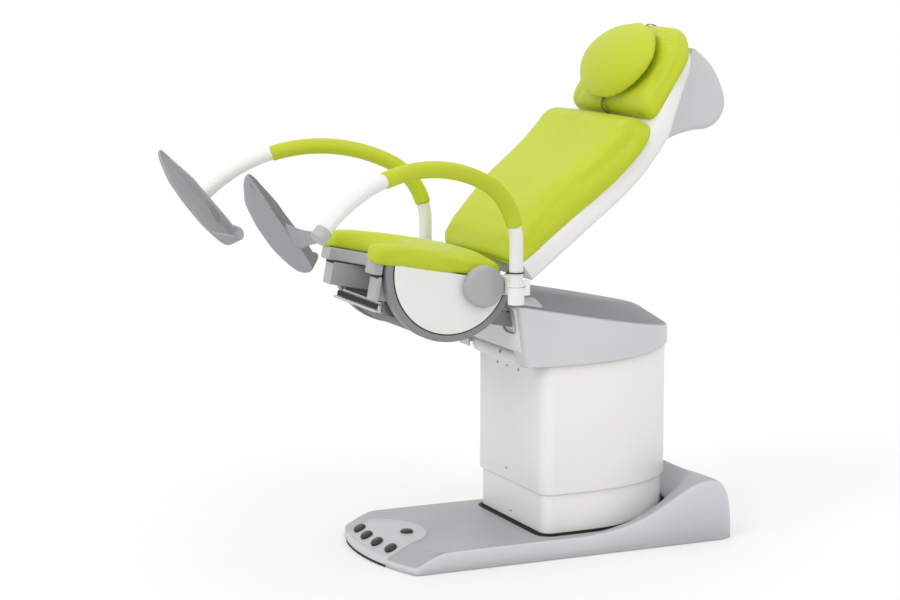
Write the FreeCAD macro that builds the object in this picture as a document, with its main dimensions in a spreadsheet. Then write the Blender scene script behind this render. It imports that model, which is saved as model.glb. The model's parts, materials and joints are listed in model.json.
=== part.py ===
import FreeCAD, Part
import math
import os
import re
from types import SimpleNamespace

import Sketcher
from FreeCAD import Placement, Rotation, Vector

# Examination chair on a lift column. X runs from the foot end to the head end, Z is up,
# and the origin is on the floor under the column. Millimetres and degrees.
sizes = {
    # base: lengths from the column's axis, heights above the floor
    "baseFront": 652.0,
    "baseRear": 415.0,
    "baseHalfWidth": 262.0,
    "frontBow": 54.0,
    "rearCorner": 60.0,
    "lipHeight": 22.0,
    "deckHeight": 58.0,
    "bevelRun": 74.0,
    "humpRun": 565.0,
    "humpCrest": 103.0,
    "humpHeight": 184.0,
    "baseWall": 5.0,
    "plateThickness": 10.0,
    "plateInset": 24.0,
    # foot control panel: its half width is measured from the outer buttons' axes
    "panelShift": 11.0,
    "panelHalfWidth": 31.5,
    "panelTaper": 4.0,
    "panelLength": 190.0,
    "panelBackRun": 95.0,
    "panelRise": 5.0,
    "panelThickness": 16.0,
    "panelGap": 0.6,
    "panelSkirtBottom": 6.0,
    "panelSkirtWall": 6.0,
    "buttonRadius": 18.0,
    "buttonGap": 0.4,
    "buttonPitch": 79.0,
    "buttonRowInset": 34.0,
    "loneButtonInset": 127.0,
    "loneButtonShift": -25.0,
    "buttonDepth": 11.0,
    "buttonStand": 8.0,
    "buttonTravel": 4.0,
    "buttonDome": 5.0,
    # lift column
    "columnFront": 196.0,
    "columnHalfWidth": 222.0,
    "columnCorner": 38.0,
    "columnSetback": 60.0,
    "columnRear": 350.0,
    "coverWall": 4.0,
    "coverGap": 9.0,
    "upperCoverBottom": 174.0,
    "upperCoverTop": 566.0,
    "lowerCoverTop": 420.0,
    "openingGap": 4.0,
    "sealGap": 0.3,
    "sealHeight": 12.0,
    "tubeHalf": 85.0,
    "tubeWall": 8.0,
    "slideGap": 0.4,
    "outerTubeTop": 400.0,
    "innerTubeBottom": 130.0,
    "rodRadius": 15.0,
    "rodBottom": 125.0,
    "actuatorRadius": 30.0,
    "actuatorTop": 330.0,
    "gearboxHeight": 60.0,
    "rivetRadius": 4.0,
    "rivetHead": 1.6,
    "rivetSpacing": 8.0,
    # head of the column: heights from the top of the upper cover
    "headFront": 276.0,
    "headHalfWidth": 232.0,
    "headCorner": 14.0,
    "headRear": 356.0,
    "headEdge": 151.0,
    "headFall": 0.195,
    "headCrown": 44.0,
    "headLean": 0.155,
    "plateauHalf": 100.0,
    "plateauFront": 150.0,
    "plateauRear": 262.0,
    "headBottom": 24.0,
    "headBottomRadius": 4000.0,
    "headBottomSetback": 100.0,
    "headWall": 5.0,
    "frameTop": 6.0,
    "framePlate": 12.0,
    "cheekInner": 112.0,
    "cheekThickness": 14.0,
    "frontPanelThickness": 4.0,
    "frontPanelHalf": 206.0,
    "frontPanelBottom": 18.0,
    "frontPanelTop": 143.0,
    "slotSealWall": 3.0,
    "lipHalfWidth": 150.0,
    "lipReach": 44.0,
    "lipTop": 12.0,
    "lipBottom": 30.0,
    "slotPlateLength": 62.0,
    "slotPlateWidth": 46.0,
    "slotPlateThickness": 6.0,
    # tilt pivot, above the head's frame, and the slots that its arms come out of
    "tiltPivotSetback": 238.0,
    "tiltPivotHeight": 92.0,
    "tiltShaftRadius": 14.0,
    "tiltArmY": 152.0,
    "tiltArmHalf": 14.0,
    "tiltArmHeight": 38.0,
    "slotHalf": 46.0,
    "slotCorner": 30.0,
    "slotBottom": 34.0,
    "slotTop": 42.0,
    # seat, in its own tilted frame about the centre of the side panels, measured from the tilt pivot
    "seatSetback": 230.0,
    "seatHeight": 154.0,
    "seatTilt": 11.0,
    "runningGap": 0.05,
    "restGap": 0.3,
    "panelRadius": 168.0,
    "panelReveal": 2.5,
    "sidePanelThickness": 8.0,
    "sideFace": 206.0,
    "rimRadius": 190.0,
    "rimStep": 2.0,
    "drumWall": 4.0,
    "drumStart": 232.0,
    "drumEnd": 312.0,
    "rimFront": 224.0,
    "rimRearX": 48.0,
    "rimHeight": 36.0,
    "rimTop": 0.2,
    "rimHalf": 170.0,
    "rimFrontHalf": 192.0,
    "rimNose": 30.0,
    "cutoutHalf": 135.0,
    "cutoutDepth": 150.0,
    "blockGap": 4.0,
    "blockHeight": 64.0,
    "blockSetback": 20.0,
    "blockLength": 118.0,
    "sidePlateInner": 158.0,
    "sidePlateThickness": 12.0,
    "sidePlateFront": 48.3,
    "sidePlateRear": 190.0,
    "hingeX": 172.0,
    "hingeDrop": 26.0,
    "hingeShaftRadius": 10.0,
    "legPivotX": 93.0,
    "legPivotDrop": 22.6,
    "legPinRadius": 12.0,
    "legPinEnd": 230.0,
    "cushionThickness": 44.0,
    "cushionCrown": 12.0,
    "cushionHalf": 204.0,
    "cushionFront": 232.0,
    "cushionRear": 168.0,
    "cushionClear": 0.5,
    "cushionLap": 6.0,
    "cushionRound": 13.0,
    "noseRound": 35.0,
    "heelRound": 44.0,
    # tray under the seat
    "trayHalf": 138.0,
    "trayFrontHalf": 150.0,
    "trayDrop": 112.0,
    "trayDepth": 24.0,
    "trayWall": 2.5,
    "trayNose": 172.0,
    "trayFrontThickness": 12.0,
    "trayRear": 86.0,
    "railThickness": 4.0,
    "trayGap": 0.4,
    # backrest: profile of the parting line between shell and cushion, measured from its hinge
    "backStartX": 19.1,
    "backStartZ": 72.3,
    "backAngle": 37.5,
    "backRun": 330.0,
    "backBendRadius": 635.0,
    "backBend": 20.5,
    "headRun": 268.0,
    "shellDepth": 60.0,
    "shellTopDepth": 26.0,
    "shellWall": 4.0,
    "shellHalf": 254.0,
    "shellTopHalf": 226.0,
    "shellCornerRadius": 110.0,
    "barHeight": 20.0,
    "barWidth": 20.0,
    "barY": 144.0,
    "barHeadRun": 150.0,
    # pads of the back: half widths measured from the shell's
    "backPadHalf": 6.0,
    "backPadFoot": 16.0,
    "backPadShoulder": 70.0,
    "padNose": 46.0,
    "padBulge": 8.0,
    "backPadEdge": 66.0,
    "backPadCrown": 16.0,
    "headGap": 10.0,
    "headPadLap": 33.0,
    "headPadHalf": 10.0,
    "headPadCorner": 105.0,
    "headPadEdge": 44.0,
    "headPadCrown": 14.0,
    "rearCoverHalf": 186.0,
    "rearCoverReach": 154.0,
    "rearCoverWall": 4.0,
    "pillowHalf": 189.0,
    "pillowLength": 133.0,
    "pillowHeight": 72.0,
    "pillowSlot": 9.5,
    "pillowAlong": 150.0,
    "cordRadius": 2.5,
    # leg supports, measured from the leg pivot and the side face
    "capRadius": 58.0,
    "capDepth": 28.0,
    "capRound": 14.0,
    "capDome": 3.0,
    "hubRadius": 44.0,
    "bracketThickness": 8.0,
    "faceGap": 1.0,
    "postX": 59.1,
    "postY": 98.0,
    "armRadius": 19.0,
    "armWall": 2.5,
    "clampHalf": 22.5,
    "clampBottom": 41.0,
    "clampTop": 14.0,
    "clampSplit": 7.0,
    "clampSlit": 3.0,
    "clampFloor": 6.0,
    "armSplay": 15.0,
    "postTop": 121.0,
    "kneeRadius": 195.0,
    "kneeTurn": 64.5,
    "archRadius": 467.0,
    "archTurn": 68.9,
    "sleeveRadius": 22.5,
    "sleeveStart": 15.0,
    "sleeveEnd": 42.5,
    "sleeveGap": 0.3,
    # foot plates, with the sole's middle measured from the tube's end
    "soleLength": 325.0,
    "heelRadius": 46.0,
    "toeRadius": 36.0,
    "soleThickness": 8.0,
    "soleRim": 7.0,
    "soleRimHeight": 7.0,
    "heelLip": 44.0,
    "wallLean": 0.24,
    "soleBelly": 10.0,
    "soleX": 64.6,
    "soleY": 136.2,
    "soleZ": 13.5,
    "collarRadius": 25.0,
    "collarLength": 32.0,
    "neckRadius": 24.0,
}

# Levels above the floor and joint axes that follow from the sizes
places = {
    "frameLevel": "upperCoverTop + frameTop",
    "edgeLevel": "upperCoverTop + headEdge",
    "skirtLevel": "upperCoverTop - headBottom",
    "lipLevel": "upperCoverTop + lipTop",
    "lipFoot": "upperCoverTop - lipBottom",
    "panelFoot": "upperCoverTop + frontPanelBottom",
    "panelHead": "upperCoverTop + frontPanelTop",
    "pivotLevel": "frameLevel + tiltPivotHeight",
    "slotFoot": "pivotLevel - slotBottom",
    "slotHead": "pivotLevel + slotTop",
    "seatX": "-(tiltPivotSetback + seatSetback)",
    "seatLevel": "pivotLevel + seatHeight",
    "backHingeX": "seatX + hingeX * cos(seatTilt) - hingeDrop * sin(seatTilt)",
    "backHingeLevel": "seatLevel - hingeX * sin(seatTilt) - hingeDrop * cos(seatTilt)",
    "legX": "seatX + legPivotX * cos(seatTilt) - legPivotDrop * sin(seatTilt)",
    "legLevel": "seatLevel - legPivotX * sin(seatTilt) - legPivotDrop * cos(seatTilt)",
    "clampFoot": "legLevel - clampBottom",
    "clampHead": "legLevel + clampTop",
    "splitLevel": "legLevel + clampSplit",
    "kneeLevel": "legLevel + postTop",
    "postAxisX": "legX + postX",
    "postAxisY": "sideFace + postY",
}

os.makedirs("parts", exist_ok=True)
doc = FreeCAD.newDocument("examination_chair")
sheet = doc.addObject("Spreadsheet::Sheet", "sizes")
cells = {alias: str(number) for alias, number in sizes.items()}
cells.update({alias: "=" + formula for alias, formula in places.items()})
for row, (alias, content) in enumerate(cells.items(), 1):
    sheet.set(f"A{row}", alias)
    sheet.set(f"B{row}", content)
    sheet.setAlias(f"B{row}", alias)
doc.recompute()
size = SimpleNamespace(**{alias: float(sheet.get(alias)) for alias in cells})
nodes = []


def tie(text):
    # A formula in the sheet's own names, as an expression that the document can follow.
    return re.sub(r"[A-Za-z]\w*", lambda m: "sizes." + m[0] if m[0] in cells else m[0], str(text))


def value(text):
    return float(sheet.evalExpression(tie(text)))


def bind(thing, links):
    for path, text in links.items():
        thing.setExpression(path, tie(text))


def node(thing, label):
    thing.Label = label
    nodes.append(thing)
    return thing


def solid(label, shape):
    # A free-form piece whose shape is worked out from the sheet's values.
    thing = doc.addObject("Part::Feature", label)
    thing.Shape = shape
    return node(thing, label)


def box(name, x, y, z):
    thing = doc.addObject("Part::Box", name)
    for side, axis, (low, high) in zip(("Length", "Width", "Height"), "xyz", (x, y, z)):
        bind(thing, {side: f"({high}) - ({low})", f"Placement.Base.{axis}": low})
    return thing


turns = {"X": Rotation(Vector(0, 1, 0), 90), "Y": Rotation(Vector(1, 0, 0), -90), "Z": Rotation()}


def rod(name, axis, radius, start, end, across):
    # A round bar along one axis; across gives its centre on the two other axes, in X, Y, Z order.
    thing = doc.addObject("Part::Cylinder", name)
    thing.Placement = Placement(Vector(), turns[axis])
    bind(thing, {"Radius": radius, "Height": f"({end}) - ({start})"})
    places = iter(across)
    for letter in "XYZ":
        place = start if letter == axis else next(places)
        bind(thing, {f"Placement.Base.{letter.lower()}": place})
    return thing


def join(name, pieces):
    thing = doc.addObject("Part::MultiFuse", name)
    thing.Shapes = pieces
    thing.Refine = True
    return thing


def carve(name, base, tools):
    thing = doc.addObject("Part::Cut", name)
    thing.Base = base
    thing.Tool = tools[0] if len(tools) == 1 else join(name + "_tools", tools)
    return thing


def mirrored(name, source):
    # The same piece on the other side of the chair's middle plane.
    thing = doc.addObject("Part::Mirroring", name)
    thing.Source = source
    thing.Normal = Vector(0, 1, 0)
    return thing


def tilted(thing):
    # Stands a piece drawn in the seat's frame on the tilted seat.
    thing.Placement = Placement(Vector(), Rotation(Vector(0, 1, 0), 1))
    bind(thing, {"Placement.Base.x": "seatX", "Placement.Base.z": "seatLevel",
                 "Placement.Rotation.Angle": "seatTilt"})
    return thing


def tiltedShape(shape):
    shape.Placement = Placement(Vector(size.seatX, 0, size.seatLevel),
                                Rotation(Vector(0, 1, 0), size.seatTilt))
    return shape


def sketch(body, plane, name, corners):
    # A closed outline. Each corner is (x, y) or (x, y, radius): with a radius, the stretch to the
    # next corner is an arc that bulges outwards on an outline drawn anticlockwise.
    thing = body.newObject("Sketcher::SketchObject", name)
    origin = [part for part in body.Origin.OriginFeatures if part.Role == plane][0]
    thing.AttachmentSupport = (origin, [""])
    thing.MapMode = "FlatFace"
    spots = [Vector(value(corner[0]), value(corner[1]), 0) for corner in corners]
    count = len(corners)
    for index, corner in enumerate(corners):
        start, end = spots[index], spots[(index + 1) % count]
        if len(corner) == 2:
            thing.addGeometry(Part.LineSegment(start, end))
            continue
        radius = value(corner[2])
        chord = end - start
        rise = math.sqrt(radius ** 2 - (chord.Length / 2) ** 2)
        centre = (start + end) * 0.5 + Vector(-chord.y, chord.x, 0).normalize() * rise
        angles = [math.atan2(spot.y - centre.y, spot.x - centre.x) for spot in (start, end)]
        thing.addGeometry(Part.ArcOfCircle(Part.Circle(centre, Vector(0, 0, 1), radius), *angles))
    for index in range(count):
        thing.addConstraint(Sketcher.Constraint("Coincident", index, 2, (index + 1) % count, 1))
    for index, corner in enumerate(corners):
        for kind, text in zip(("DistanceX", "DistanceY"), corner):
            place = thing.addConstraint(Sketcher.Constraint(kind, -1, 1, index, 1, value(text)))
            bind(thing, {f"Constraints[{place}]": text})
        if len(corner) == 3:
            place = thing.addConstraint(Sketcher.Constraint("Radius", index, value(corner[2])))
            bind(thing, {f"Constraints[{place}]": corner[2]})
    return thing


def padded(body, outline, name, length, way="One side", back=False):
    thing = body.newObject("PartDesign::Pad", name)
    thing.Profile = outline
    thing.SideType = way
    thing.Reversed = back
    bind(thing, {"Length": length})
    return thing


def turned(body, outline, name, angle, axis="V_Axis", back=False):
    thing = body.newObject("PartDesign::Revolution", name)
    thing.Profile = outline
    thing.ReferenceAxis = (outline, [axis])
    thing.Reversed = back
    bind(thing, {"Angle": angle})
    return thing


def face(edges):
    return Part.Face(Part.Wire(Part.__sortEdges__(edges)))


def line(start, end):
    return Part.LineSegment(start, end).toShape()


def arc(start, middle, end):
    return Part.Arc(start, middle, end).toShape()


def polygon(points):
    return Part.Face(Part.makePolygon(points + points[:1]))


# Base

def curve(poles):
    # A Bezier curve through its first and last pole.
    bezier = Part.BezierCurve()
    bezier.setPoles(poles)
    return bezier.toShape()


def basePlan(inset, back, height):
    # Plan of the base at one height: bowed front, straight sides, rounded rear corners.
    half = size.baseHalfWidth - inset
    front = -size.baseFront + inset + back
    corner = front + size.frontBow
    rear = size.baseRear - inset
    radius = size.rearCorner - inset
    round45 = radius * (1 - math.sqrt(0.5))
    edges = [arc(Vector(corner, half, height), Vector(front, 0, height), Vector(corner, -half, height)),
             line(Vector(corner, -half, height), Vector(rear - radius, -half, height)),
             arc(Vector(rear - radius, -half, height), Vector(rear - round45, -half + round45, height),
                 Vector(rear, -half + radius, height)),
             line(Vector(rear, -half + radius, height), Vector(rear, half - radius, height)),
             arc(Vector(rear, half - radius, height), Vector(rear - round45, half - round45, height),
                 Vector(rear - radius, half, height)),
             line(Vector(rear - radius, half, height), Vector(corner, half, height))]
    return Part.Wire(edges)


def baseForm(inset, lift):
    # The base's outer form, drawn in by inset on its sides and raised by lift on its top.
    lip = size.lipHeight + lift
    deck = size.deckHeight + lift
    crest = size.humpHeight + lift
    low = Part.Face(basePlan(inset, 0, 0)).extrude(Vector(0, 0, lip))
    bevel = Part.makeLoft([basePlan(inset, 0, lip), basePlan(inset, size.bevelRun, deck)], True, True)
    rear = size.baseRear - inset
    start = rear - size.humpRun - inset
    top = rear - size.humpCrest
    run, fall, rise = top - start, rear - top, crest - deck
    spot = lambda x, z: Vector(x, -size.baseHalfWidth, z)
    foot, heel = spot(start, deck), spot(rear - 0.07 * fall, lip)
    edges = [curve([foot, spot(start + 0.584 * run, deck), spot(top - 0.286 * run, crest), spot(top, crest)]),
             curve([spot(top, crest), spot(top + 0.58 * fall, crest),
                    spot(top + 0.79 * fall, deck + 0.65 * rise), heel]),
             line(heel, spot(start, lip)),
             line(spot(start, lip), foot)]
    hump = face(edges).extrude(Vector(0, 2 * size.baseHalfWidth, 0))
    hump = hump.common(Part.Face(basePlan(inset, 0, 0)).extrude(Vector(0, 0, crest)))
    return low.fuse([bevel, hump]).removeSplitter()


def panelPlan(gap):
    # Plan of the foot control panel: its front follows the base's bow, its back is a round tongue.
    half = 1.5 * size.buttonPitch + size.panelHalfWidth + gap
    middle = size.panelShift
    bowed = lambda y: -size.baseFront + size.frontBow * (y / size.baseHalfWidth) ** 2 - gap
    back = -size.baseFront + size.panelLength + gap
    shoulder = back - size.panelBackRun
    taper = half - size.panelTaper
    spot = lambda x, y: Vector(x, y, 0)
    left, right = middle + half, middle - half
    return face([arc(spot(bowed(left), left), spot(bowed(middle), middle), spot(bowed(right), right)),
                 line(spot(bowed(right), right), spot(shoulder, middle - taper)),
                 arc(spot(shoulder, middle - taper), spot(back, middle), spot(shoulder, middle + taper)),
                 line(spot(shoulder, middle + taper), spot(bowed(left), left))])


def columnPlan(grow, height, front=None, half=None, corner=None, rear=None):
    # Plan of the column: flat front, rounded front corners, straight sides, half an ellipse behind.
    front = -(front or size.columnFront) - grow
    half = (half or size.columnHalfWidth) + grow
    corner = max((corner or size.columnCorner) + grow, 1.0)
    rear = (rear or size.columnRear) + grow
    centre = -size.columnSetback
    slant = corner * (1 - math.sqrt(0.5))
    spot = lambda x, y: Vector(x, y, height)
    if rear > half:
        ellipse = Part.Ellipse(spot(centre + rear, 0), spot(centre, half), spot(centre, 0))
    else:
        ellipse = Part.Ellipse(spot(centre, half), spot(centre - rear, 0), spot(centre, 0))
    halves = Part.Wire([ellipse.toShape()])
    room = Part.makeBox(rear + 1, 2 * half + 2, 2, spot(centre, -half - 1) - Vector(0, 0, 1))
    curved = [edge for edge in halves.common(room).Edges]
    return Part.Wire(Part.__sortEdges__(curved + [
        line(spot(centre, half), spot(front + corner, half)),
        arc(spot(front + corner, half), spot(front + slant, half - slant), spot(front, half - corner)),
        line(spot(front, half - corner), spot(front, -half + corner)),
        arc(spot(front, -half + corner), spot(front + slant, -half + slant), spot(front + corner, -half)),
        line(spot(front + corner, -half), spot(centre, -half))]))


def columnTube(outside, inside, bottom, top):
    ring = Part.Face(columnPlan(outside, bottom)).cut(Part.Face(columnPlan(inside, bottom)))
    return ring.extrude(Vector(0, 0, top - bottom))


plateBody = doc.addObject("PartDesign::Body", "base_plate")
plateOutline = sketch(plateBody, "XY_Plane", "plate_outline", [
    ("-(baseFront - frontBow - plateInset)", "-(baseHalfWidth - plateInset)"),
    ("baseRear - plateInset", "-(baseHalfWidth - plateInset)"),
    ("baseRear - plateInset", "baseHalfWidth - plateInset"),
    ("-(baseFront - frontBow - plateInset)", "baseHalfWidth - plateInset")])
padded(plateBody, plateOutline, "plate_pad", "plateThickness")
node(plateBody, "base_plate")

tall = Vector(0, 0, size.humpHeight + size.panelRise)
outerForm = baseForm(0, 0)
hollow = baseForm(size.baseWall, -size.baseWall)
columnHole = Part.Face(columnPlan(size.openingGap, 0)).extrude(tall)
panelHole = panelPlan(size.panelGap).extrude(tall)
collarBottom = size.deckHeight - size.sealHeight
collar = Part.Face(columnPlan(size.openingGap + size.baseWall, collarBottom)).extrude(tall)
solid("base_cover", outerForm.cut(hollow.cut(collar)).cut(columnHole).cut(panelHole))

panelForm = baseForm(0, size.panelRise).cut(baseForm(0, size.panelRise - size.panelThickness))
panelForm = panelForm.common(panelPlan(0).extrude(tall))
skirtInside = panelPlan(0)
skirtInside.translate(Vector(size.panelSkirtWall, 0, size.panelSkirtBottom))
skirt = panelPlan(0)
skirt.translate(Vector(0, 0, size.panelSkirtBottom))
skirt = skirt.cut(skirtInside).extrude(Vector(0, 0, size.lipHeight - size.panelSkirtBottom))
skirtRoom = Part.makeBox(size.bevelRun, 2 * size.baseHalfWidth, size.deckHeight,
                         Vector(-size.baseFront - 1, -size.baseHalfWidth, 0))
panelForm = panelForm.fuse(skirt.common(skirtRoom)).removeSplitter()
panelSlope = math.degrees(math.atan2(size.deckHeight - size.lipHeight, size.bevelRun))


def deckAt(x):
    # Height of the panel's top at one place along the base.
    run = min(x + size.baseFront, size.bevelRun)
    return size.lipHeight + size.panelRise + (size.deckHeight - size.lipHeight) * run / size.bevelRun


buttons = []
for index in range(4):
    across = size.panelShift + (1.5 - index) * size.buttonPitch
    along = -size.baseFront + size.buttonRowInset + size.frontBow * (across / size.baseHalfWidth) ** 2
    drop = size.frontBow * (across / size.baseHalfWidth) ** 2
    buttons.append((Vector(along, across, deckAt(along - drop)), -panelSlope))
loneX = -size.baseFront + size.loneButtonInset
buttons.append((Vector(loneX, size.loneButtonShift, deckAt(loneX)), 0.0))

for place, slope in buttons:
    seat = Placement(place, Rotation(Vector(0, 1, 0), slope))
    pocket = Part.makeCylinder(size.buttonRadius + size.buttonGap, 3 * size.buttonDepth,
                               Vector(0, 0, -size.buttonDepth))
    pocket.Placement = seat
    panelForm = panelForm.cut(pocket)
solid("control_panel", panelForm)

for index, (place, slope) in enumerate(buttons, 1):
    body = doc.addObject("PartDesign::Body", f"foot_button_{index}")
    foot = "-(buttonDepth - buttonTravel) + 0.2"
    profile = sketch(body, "XZ_Plane", f"button_profile_{index}", [
        ("0", foot),
        ("buttonRadius", foot),
        ("buttonRadius", "buttonStand - buttonDome", "(buttonRadius ^ 2 + buttonDome ^ 2) / (2 * buttonDome)"),
        ("0", "buttonStand")])
    turned(body, profile, f"button_turn_{index}", "360")
    body.Placement = Placement(place, Rotation(Vector(0, 1, 0), slope))
    node(body, f"foot_button_{index}")

lowerOutside = -size.coverGap
solid("column_seal", columnTube(size.openingGap - size.sealGap, lowerOutside + size.sealGap,
                                size.deckHeight - size.sealHeight, size.deckHeight))
solid("lower_column_cover", columnTube(lowerOutside, lowerOutside - size.coverWall,
                                       size.plateThickness, size.lowerCoverTop))


# Lift drive inside the column

def squareTube(label, half, wall, bottom, top):
    outer = box(label + "_outer", (f"-({half})", half), (f"-({half})", half), (bottom, top))
    bore = f"({half}) - ({wall})"
    inner = box(label + "_bore", (f"-({bore})", bore), (f"-({bore})", bore), (bottom, top))
    return node(carve(label, outer, [inner]), label)


squareTube("lift_outer_tube", "tubeHalf", "tubeWall", "plateThickness", "outerTubeTop")
gearbox = box("gearbox", ("-actuatorRadius", "actuatorRadius + 20"), ("-actuatorRadius", "actuatorRadius"),
              ("plateThickness", "plateThickness + gearboxHeight"))
actuator = rod("actuator", "Z", "actuatorRadius", "plateThickness", "actuatorTop", ("0", "0"))
rodBore = rod("rod_bore", "Z", "rodRadius + slideGap", "plateThickness + 4", "actuatorTop", ("0", "0"))
node(carve("lift_motor", join("motor_body", [gearbox, actuator]), [rodBore]), "lift_motor")


def rivetPair(heights, shifts, proud):
    heads = []
    for height, shift in zip(heights, shifts):
        for side in (-0.5, 0.5):
            spot = Vector(-proud, shift + side * size.rivetSpacing, height)
            heads.append(Part.makeCylinder(size.rivetRadius / 2, size.rivetHead, spot, Vector(-1, 0, 0)))
    return heads


lowRivets = rivetPair([size.deckHeight + 26], [0], size.columnFront - size.coverGap)
solid("lower_cover_rivets", Part.makeCompound(lowRivets))

solid("upper_column_cover", columnTube(0, -size.coverWall, size.upperCoverBottom, size.upperCoverTop))
squareTube("lift_inner_tube", "tubeHalf - tubeWall - slideGap", "tubeWall", "innerTubeBottom",
           "frameLevel - framePlate")
node(rod("lift_rod", "Z", "rodRadius", "rodBottom", "frameLevel - framePlate", ("0", "0")), "lift_rod")
coverRivets = rivetPair([size.upperCoverBottom + 34, size.upperCoverTop - 58], [14, 10], size.columnFront)
for shift in (74, -64):
    coverRivets.append(Part.makeCylinder(size.rivetRadius, size.rivetHead,
                                         Vector(-size.columnFront, shift, size.upperCoverTop - 58),
                                         Vector(-1, 0, 0)))
solid("upper_cover_rivets", Part.makeCompound(coverRivets))


def bent(points):
    # A chain of lines and arcs: each entry is a corner, and a pair of points is an arc's middle and end.
    edges = []
    last = points[0]
    for entry in points[1:] + points[:1]:
        if isinstance(entry, tuple):
            edges.append(arc(last, entry[0], entry[1]))
            last = entry[1]
        else:
            if (entry - last).Length > 1e-6:
                edges.append(line(last, entry))
            last = entry
    return face(edges)


def roundCorner(corner, before, after, radius):
    # The start, middle and end of a rounded corner between two straight sides at right angles.
    back, ahead = (before - corner).normalize(), (after - corner).normalize()
    middle = corner + (back + ahead) * radius * (1 - math.sqrt(0.5))
    return corner + back * radius, middle, corner + ahead * radius


# Head of the column

frameFront = "-(columnFront - coverWall - restGap)"
cheekRear = "-(columnFront - 76)"
framePlate = box("frame_plate", (frameFront, "tubeHalf + 30"), ("-cheekInner - cheekThickness",
                 "cheekInner + cheekThickness"), ("frameLevel - framePlate", "frameLevel"))
frameWing = box("frame_wing", ("-columnSetback - 70", "-columnSetback"), ("-(headHalfWidth - headWall - restGap)",
                "headHalfWidth - headWall - restGap"), ("upperCoverTop + restGap", "frameLevel"))
cheekFoot = box("cheek_foot", (frameFront, cheekRear), ("cheekInner", "cheekInner + cheekThickness"),
                ("frameLevel", "pivotLevel - 24"))
cheekEye = box("cheek_eye", ("-(tiltPivotSetback + 22)", cheekRear), ("cheekInner", "cheekInner + cheekThickness"),
               ("pivotLevel - 24", "pivotLevel + 30"))
cheek = join("cheek_left", [cheekFoot, cheekEye])
shaftHole = rod("shaft_hole", "Y", "tiltShaftRadius + 0.02", "-cheekInner * 2", "cheekInner * 2",
                ("-tiltPivotSetback", "pivotLevel"))
headFrame = join("frame_body", [framePlate, frameWing, cheek, mirrored("cheek_right", cheek)])
node(carve("head_frame", headFrame, [shaftHole]), "head_frame")
node(rod("tilt_shaft", "Y", "tiltShaftRadius", "-tiltArmY - tiltArmHalf - 6", "tiltArmY + tiltArmHalf + 6",
         ("-tiltPivotSetback", "pivotLevel")), "tilt_shaft")


def frontWall(height):
    # The head's front leans: its place along the chair at one height.
    return -size.headFront + size.headLean * (size.edgeLevel - height)


def inclined(plan, level):
    # A flat plan moved up to a level at the head's front, falling to the rear.
    slope = FreeCAD.Matrix()
    slope.A31 = -size.headFall
    slope.A34 = level - size.headFall * size.headFront
    return plan.transformGeometry(slope)


def headForm(inset, openBottom):
    # The head cover: a D in plan with a leaning front, under a hipped roof that falls to the rear, with a
    # bowed lower edge.
    half, corner = size.headHalfWidth - inset, max(size.headCorner - inset, 4)
    rear = size.headRear - inset
    edge = size.edgeLevel - inset
    low = size.skirtLevel - 4 * size.headBottom
    foot = columnPlan(0, low, -frontWall(low) - inset, half, corner, rear)
    rim = inclined(columnPlan(0, 0, size.headFront - inset, half, corner, rear), edge)
    plateau = inclined(columnPlan(0, 0, size.plateauFront, size.plateauHalf, corner, size.plateauRear),
                       edge + size.headCrown)
    form = Part.makeLoft([foot, rim, plateau], True, True)
    if openBottom:
        return form
    wide = size.headHalfWidth
    bowl = Part.makeCylinder(size.headBottomRadius, 2 * wide,
                             Vector(-size.headBottomSetback, -wide, size.skirtLevel + size.headBottomRadius),
                             Vector(0, 1, 0))
    return form.common(bowl)


def frontSlab(near, far, half, low, high):
    # A slab along the leaning front, between two distances behind its outer face.
    spot = lambda back, height: Vector(frontWall(height) + back, -half, height)
    outline = polygon([spot(near, low), spot(far, low), spot(far, high), spot(near, high)])
    return outline.extrude(Vector(0, 2 * half, 0))


window = frontSlab(-1, 4 * size.headWall, size.frontPanelHalf - 3, size.panelFoot + 3, size.panelHead - 3)
lipBay = frontSlab(-1, 3 * size.headWall, size.lipHalfWidth + 1, size.skirtLevel - size.headWall,
                   size.lipLevel + 1)
solid("head_cover", headForm(0, False).cut(headForm(size.headWall, True)).cut(window).cut(lipBay))


def slotPrism(y, inset):
    # A slot with round corners through the head's front panel.
    half, low, high = size.slotHalf - inset, size.slotFoot + inset, size.slotHead - inset
    radius = size.slotCorner - inset
    x = frontWall(high) - 4 * size.frontPanelThickness
    spot = lambda across, height: Vector(x, y + across, height)
    corners = [spot(-half, low), spot(half, low), spot(half, high), spot(-half, high)]
    chain = []
    for index, corner in enumerate(corners):
        first, middle, last = roundCorner(corner, corners[index - 1], corners[(index + 1) % 4], radius)
        chain += [first, (middle, last)]
    return bent(chain).extrude(Vector(12 * size.frontPanelThickness, 0, 0))


thickness = size.frontPanelThickness
frontPanel = frontSlab(-thickness, 0, size.frontPanelHalf, size.panelFoot, size.panelHead)
sealBand = frontSlab(-thickness - 1, 2, size.frontPanelHalf, size.panelFoot, size.panelHead)
slotSeals = []
for side in (-1, 1):
    y = side * size.tiltArmY
    hole = slotPrism(y, 0)
    frontPanel = frontPanel.cut(hole)
    slotSeals.append(sealBand.common(hole).cut(slotPrism(y, size.slotSealWall)))
solid("head_front_panel", frontPanel)
solid("slot_seals", Part.makeCompound(slotSeals))

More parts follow.
